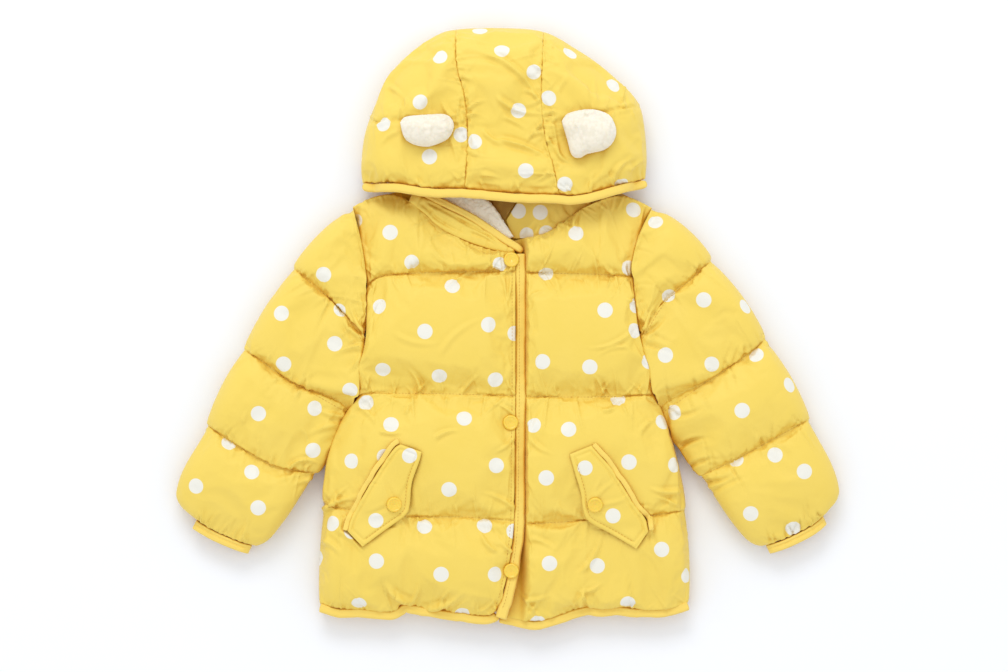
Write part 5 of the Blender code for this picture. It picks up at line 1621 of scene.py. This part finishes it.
def pocket(side_name, panel, sewn_edge, free_edge, folds, spots, seed):
    """One pocket's flap and the lip of its mouth, laid over the front as it lies."""
    surface = skin(panel)
    sewn, free = curve(sewn_edge), curve(free_edge)
    s, v = spread(64, 0.3), spread(34, 0.3)[:, None, None]
    xy = at(sewn, s)[None] * (1 - v) + at(free, s)[None] * v
    base = draped(heights(surface, xy), 3) + 0.8
    outline = np.vstack([sewn, free[::-1], sewn[:1]])
    to_edge = distance_to(xy, outline)
    rim = rounded(to_edge, 3.0)
    z = base + FLAP_THICKNESS * (0.5 + 0.5 * rim) + 0.7 * rounded(to_edge - 4.5, 8.0)
    z = z - 1.1 * np.exp(-(((to_edge - TOPSTITCHED) / 0.8) ** 2))
    flap = cloth_grid(f"cloth_pocket_flap_{side_name}", np.dstack([xy, z]))
    refine(flap)
    small = gathers(sewn_edge[1:-1], seed, depth=(0.3, 0.8), reach=(4, 12), width=(0.9, 1.6))
    crease(flap, [*folds, *small])
    print_spots(flap, spots)
    with edited(flap) as bm:
        for vert in verts_in(bmesh.ops.extrude_face_region(bm, geom=bm.faces[:])["geom"]):
            vert.co.z -= FLAP_CLOTH * MM
    padded_cloth(flap, f"pocket_flap_{side_name}")

    way = 1 if sewn_edge[0][0] < 0 else -1
    middle = beside(sewn_edge, -way * (WELT_WIDTH / 2 + 0.1))
    line = curve(middle)
    mm = lengths(line)
    floor = heights(surface, line)
    for _ in range(30):
        floor = np.maximum(floor, np.convolve(np.pad(floor, 2, mode="edge"), np.ones(5) / 5, "valid"))

    def welt_floor(xy):
        """The front's height under the lip, at the nearest point of its middle line."""
        gaps = np.linalg.norm(xy[:, None] - line[None], axis=2).argmin(axis=1)
        return floor[gaps] + 0.9

    # Painted shade: the lip's tone sets how light the same mustard tape is drawn here.
    bound_edge(
        f"tape_pocket_lip_{side_name}", f"pocket_welt_{side_name}", middle, WELT_WIDTH, welt_floor,
        lambda xy: welt_floor(xy) + 3.2, seed + 5, 0.92, wave=0.8, stitched=9.0,
    )
    return flap


flap_right = pocket("right", front_right, *RIGHT_POCKET, RIGHT_FLAP_FOLDS, RIGHT_FLAP_DOTS, 191)
flap_left = pocket("left", front_left, *LEFT_POCKET, LEFT_FLAP_FOLDS, LEFT_FLAP_DOTS, 201)


# ------------------------------------------------------------------ press studs
# Moulded acetal caps, dyed yellow, 13.5 mm across: a raised rim round a shallow dish, with a
# moulding mark in its middle. Each is riveted through the cloth, which it draws down.

CAP_RADIUS = 6.75
CAP_HEIGHT = 2.2
CAP_STAND = 0.7

stud_plastic, tree, shader = new_finish("moulded_acetal")
place = node(tree, "ShaderNodeTexCoord").outputs["Object"]
rubbed = node(tree, "ShaderNodeTexNoise", [("Vector", place)], {"Scale": 500.0, "Detail": 3.0})
cap_yellow = node(
    tree, "ShaderNodeMix", [(0, rubbed.outputs["Fac"])], {6: linear("#e9c441"), 7: linear("#efce52")},
    data_type="RGBA",
)
tree.links.new(cap_yellow.outputs[2], shader.inputs["Base Color"])
fine = node(tree, "ShaderNodeBump", [("Height", rubbed.outputs["Fac"])], {"Strength": 0.08, "Distance": 0.0002})
tree.links.new(fine.outputs[0], shader.inputs["Normal"])
shader.inputs["Roughness"].default_value = 0.28
shader.inputs["Subsurface Weight"].default_value = 0.1
shader.inputs["Subsurface Scale"].default_value = 0.002


def press_stud(name, x, y, surfaces):
    """A turned cap on the cloth, square to what is under it."""
    west, east, south, north = (
        Vector((px, py, max(float(heights(s, np.array([[px, py]]), 0.0)[0]) for s in surfaces)))
        for px, py in ((x - 5, y), (x + 5, y), (x, y - 5), (x, y + 5))
    )
    normal = (east - west).cross(north - south).normalized()
    seat = (east + west + south + north) / 4
    node_low, node_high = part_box(name)
    centre = (node_low + node_high) / 2
    seat = Vector((*centre.xy, 0)) / MM + Vector((TABLE_POINT[0], TABLE_POINT[1], seat.z))
    r, h = CAP_RADIUS, CAP_HEIGHT
    profile = (
        (0, h - 0.75), (0.35, h - 0.75), (0.5, h - 0.62), (r * 0.6, h - 0.58), (r * 0.68, h - 0.5),
        (r * 0.74, h - 0.12), (r * 0.8, h), (r * 0.88, h - 0.04), (r * 0.95, h - 0.35), (r * 0.99, h - 0.9),
        (r, h - 1.5), (r * 0.985, -0.6), (0, -0.6),
    )
    bm = bmesh.new()
    verts = [bm.verts.new((radius, 0, up)) for radius, up in profile]
    line = [bm.edges.new(pair) for pair in zip(verts, verts[1:])]
    bmesh.ops.spin(
        bm, geom=[*verts, *line], cent=(0, 0, 0), axis=(0, 0, 1), angle=math.tau, steps=56, use_merge=True
    )
    bmesh.ops.remove_doubles(bm, verts=bm.verts, dist=1e-5)
    bmesh.ops.recalc_face_normals(bm, faces=bm.faces)
    turned = normal.to_track_quat("Z", "Y").to_matrix().to_4x4()
    bmesh.ops.transform(bm, matrix=turned, verts=bm.verts)
    for vert in bm.verts:
        vert.co = (vert.co + seat + normal * CAP_STAND - Vector(TABLE_POINT)) * MM
    cap = put("cap_" + name, bm)
    cap.data.set_sharp_from_angle(angle=math.radians(60))
    finish(cap, name, stud_plastic)


front_skins = [skin(front_right), skin(placket)]
for number, (x, y) in enumerate(STUD_SEATS, start=1):
    press_stud(f"front_stud_{number}", x, y, front_skins)
press_stud("pocket_stud_right", *POCKET_STUDS["right"], [skin(flap_right)])
press_stud("pocket_stud_left", *POCKET_STUDS["left"], [skin(flap_left)])


# ------------------------------------------------------------------ stitching
# Spun polyester thread, dyed mustard: the inner quilting lines of the fronts and sleeves, the topstitching of the
# placket and of the pocket flaps. Real stitches are 3 mm long and 0.35 mm thick.

STITCH = 3.0
THREAD = 0.24

thread, tree, shader = new_finish("spun_polyester_thread")
place = node(tree, "ShaderNodeTexCoord").outputs["Object"]
twist = node(tree, "ShaderNodeTexWave", [("Vector", place)], {"Scale": 900.0, "Distortion": 2.0})
# Painted shade: the thread is drawn darker in the grooves of its twist, by the same waves that give its bump.
thread_mustard = node(
    tree, "ShaderNodeMix", [(0, twist.outputs["Fac"])], {6: linear("#bd8f31"), 7: linear("#dcb04a")},
    data_type="RGBA",
)
tree.links.new(thread_mustard.outputs[2], shader.inputs["Base Color"])
ply = node(tree, "ShaderNodeBump", [("Height", twist.outputs["Fac"])], {"Strength": 0.3, "Distance": 0.0001})
tree.links.new(ply.outputs[0], shader.inputs["Normal"])
shader.inputs["Roughness"].default_value = 0.6
shader.inputs["Sheen Weight"].default_value = 0.2


def sewn_line(name, runs, surfaces, seed):
    """Rows of single stitches along some lines, each dropped on the cloth under it."""
    luck = np.random.default_rng(seed)
    bm = bmesh.new()
    for run in runs:
        line = curve(run) if len(run) < 40 else np.asarray(run)
        count = int(lengths(line)[-1] / STITCH)
        for k in range(count):
            ends = at(line, [(k + 0.13 + luck.uniform(-0.03, 0.03)) / count, (k + 0.87) / count])
            z = [max(float(heights(s, end[None], 0.0)[0]) for s in surfaces) for end in ends]
            if min(z) < 5:
                continue
            a, b = (Vector((*end, up + 0.05)) for end, up in zip(ends, z))
            way = b - a
            bmesh.ops.create_uvsphere(
                bm, u_segments=6, v_segments=4, radius=1.0,
                matrix=Matrix.Translation(((a + b) / 2 - Vector(TABLE_POINT)) * MM)
                @ way.to_track_quat("Z", "Y").to_matrix().to_4x4()
                @ Matrix.Diagonal((THREAD * MM, THREAD * MM, way.length / 2 * MM, 1)),
            )
    row = put(name, bm)
    row.data.materials.append(thread)
    row.data.shade_smooth()
    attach(row, "root")


sewn_line("stitches_front_right", RIGHT_FRONT_SEAMS[1:4], [skin(front_right)], 1)
sewn_line("stitches_front_left", LEFT_FRONT_SEAMS[1:4], [skin(front_left)], 2)
sewn_line("stitches_sleeve_right", RIGHT_SLEEVE_SEAMS[1:4], [skin(sleeve_right)], 3)
sewn_line("stitches_sleeve_left", LEFT_SLEEVE_SEAMS[1:4], [skin(sleeve_left)], 4)
sewn_line(
    "stitches_placket", [beside(placket_edge, -3.0), beside(placket_edge, 3.4)],
    [skin(front_right), skin(placket)], 5,
)


def topstitched(edge, aside):
    """A line of topstitching inside a pocket flap's free edge."""
    return beside(edge, aside)[3:-2]


sewn_line("stitches_pocket_right", [topstitched(RIGHT_POCKET[1], -TOPSTITCHED)], [skin(flap_right)], 6)
sewn_line("stitches_pocket_left", [topstitched(LEFT_POCKET[1], TOPSTITCHED)], [skin(flap_left)], 7)
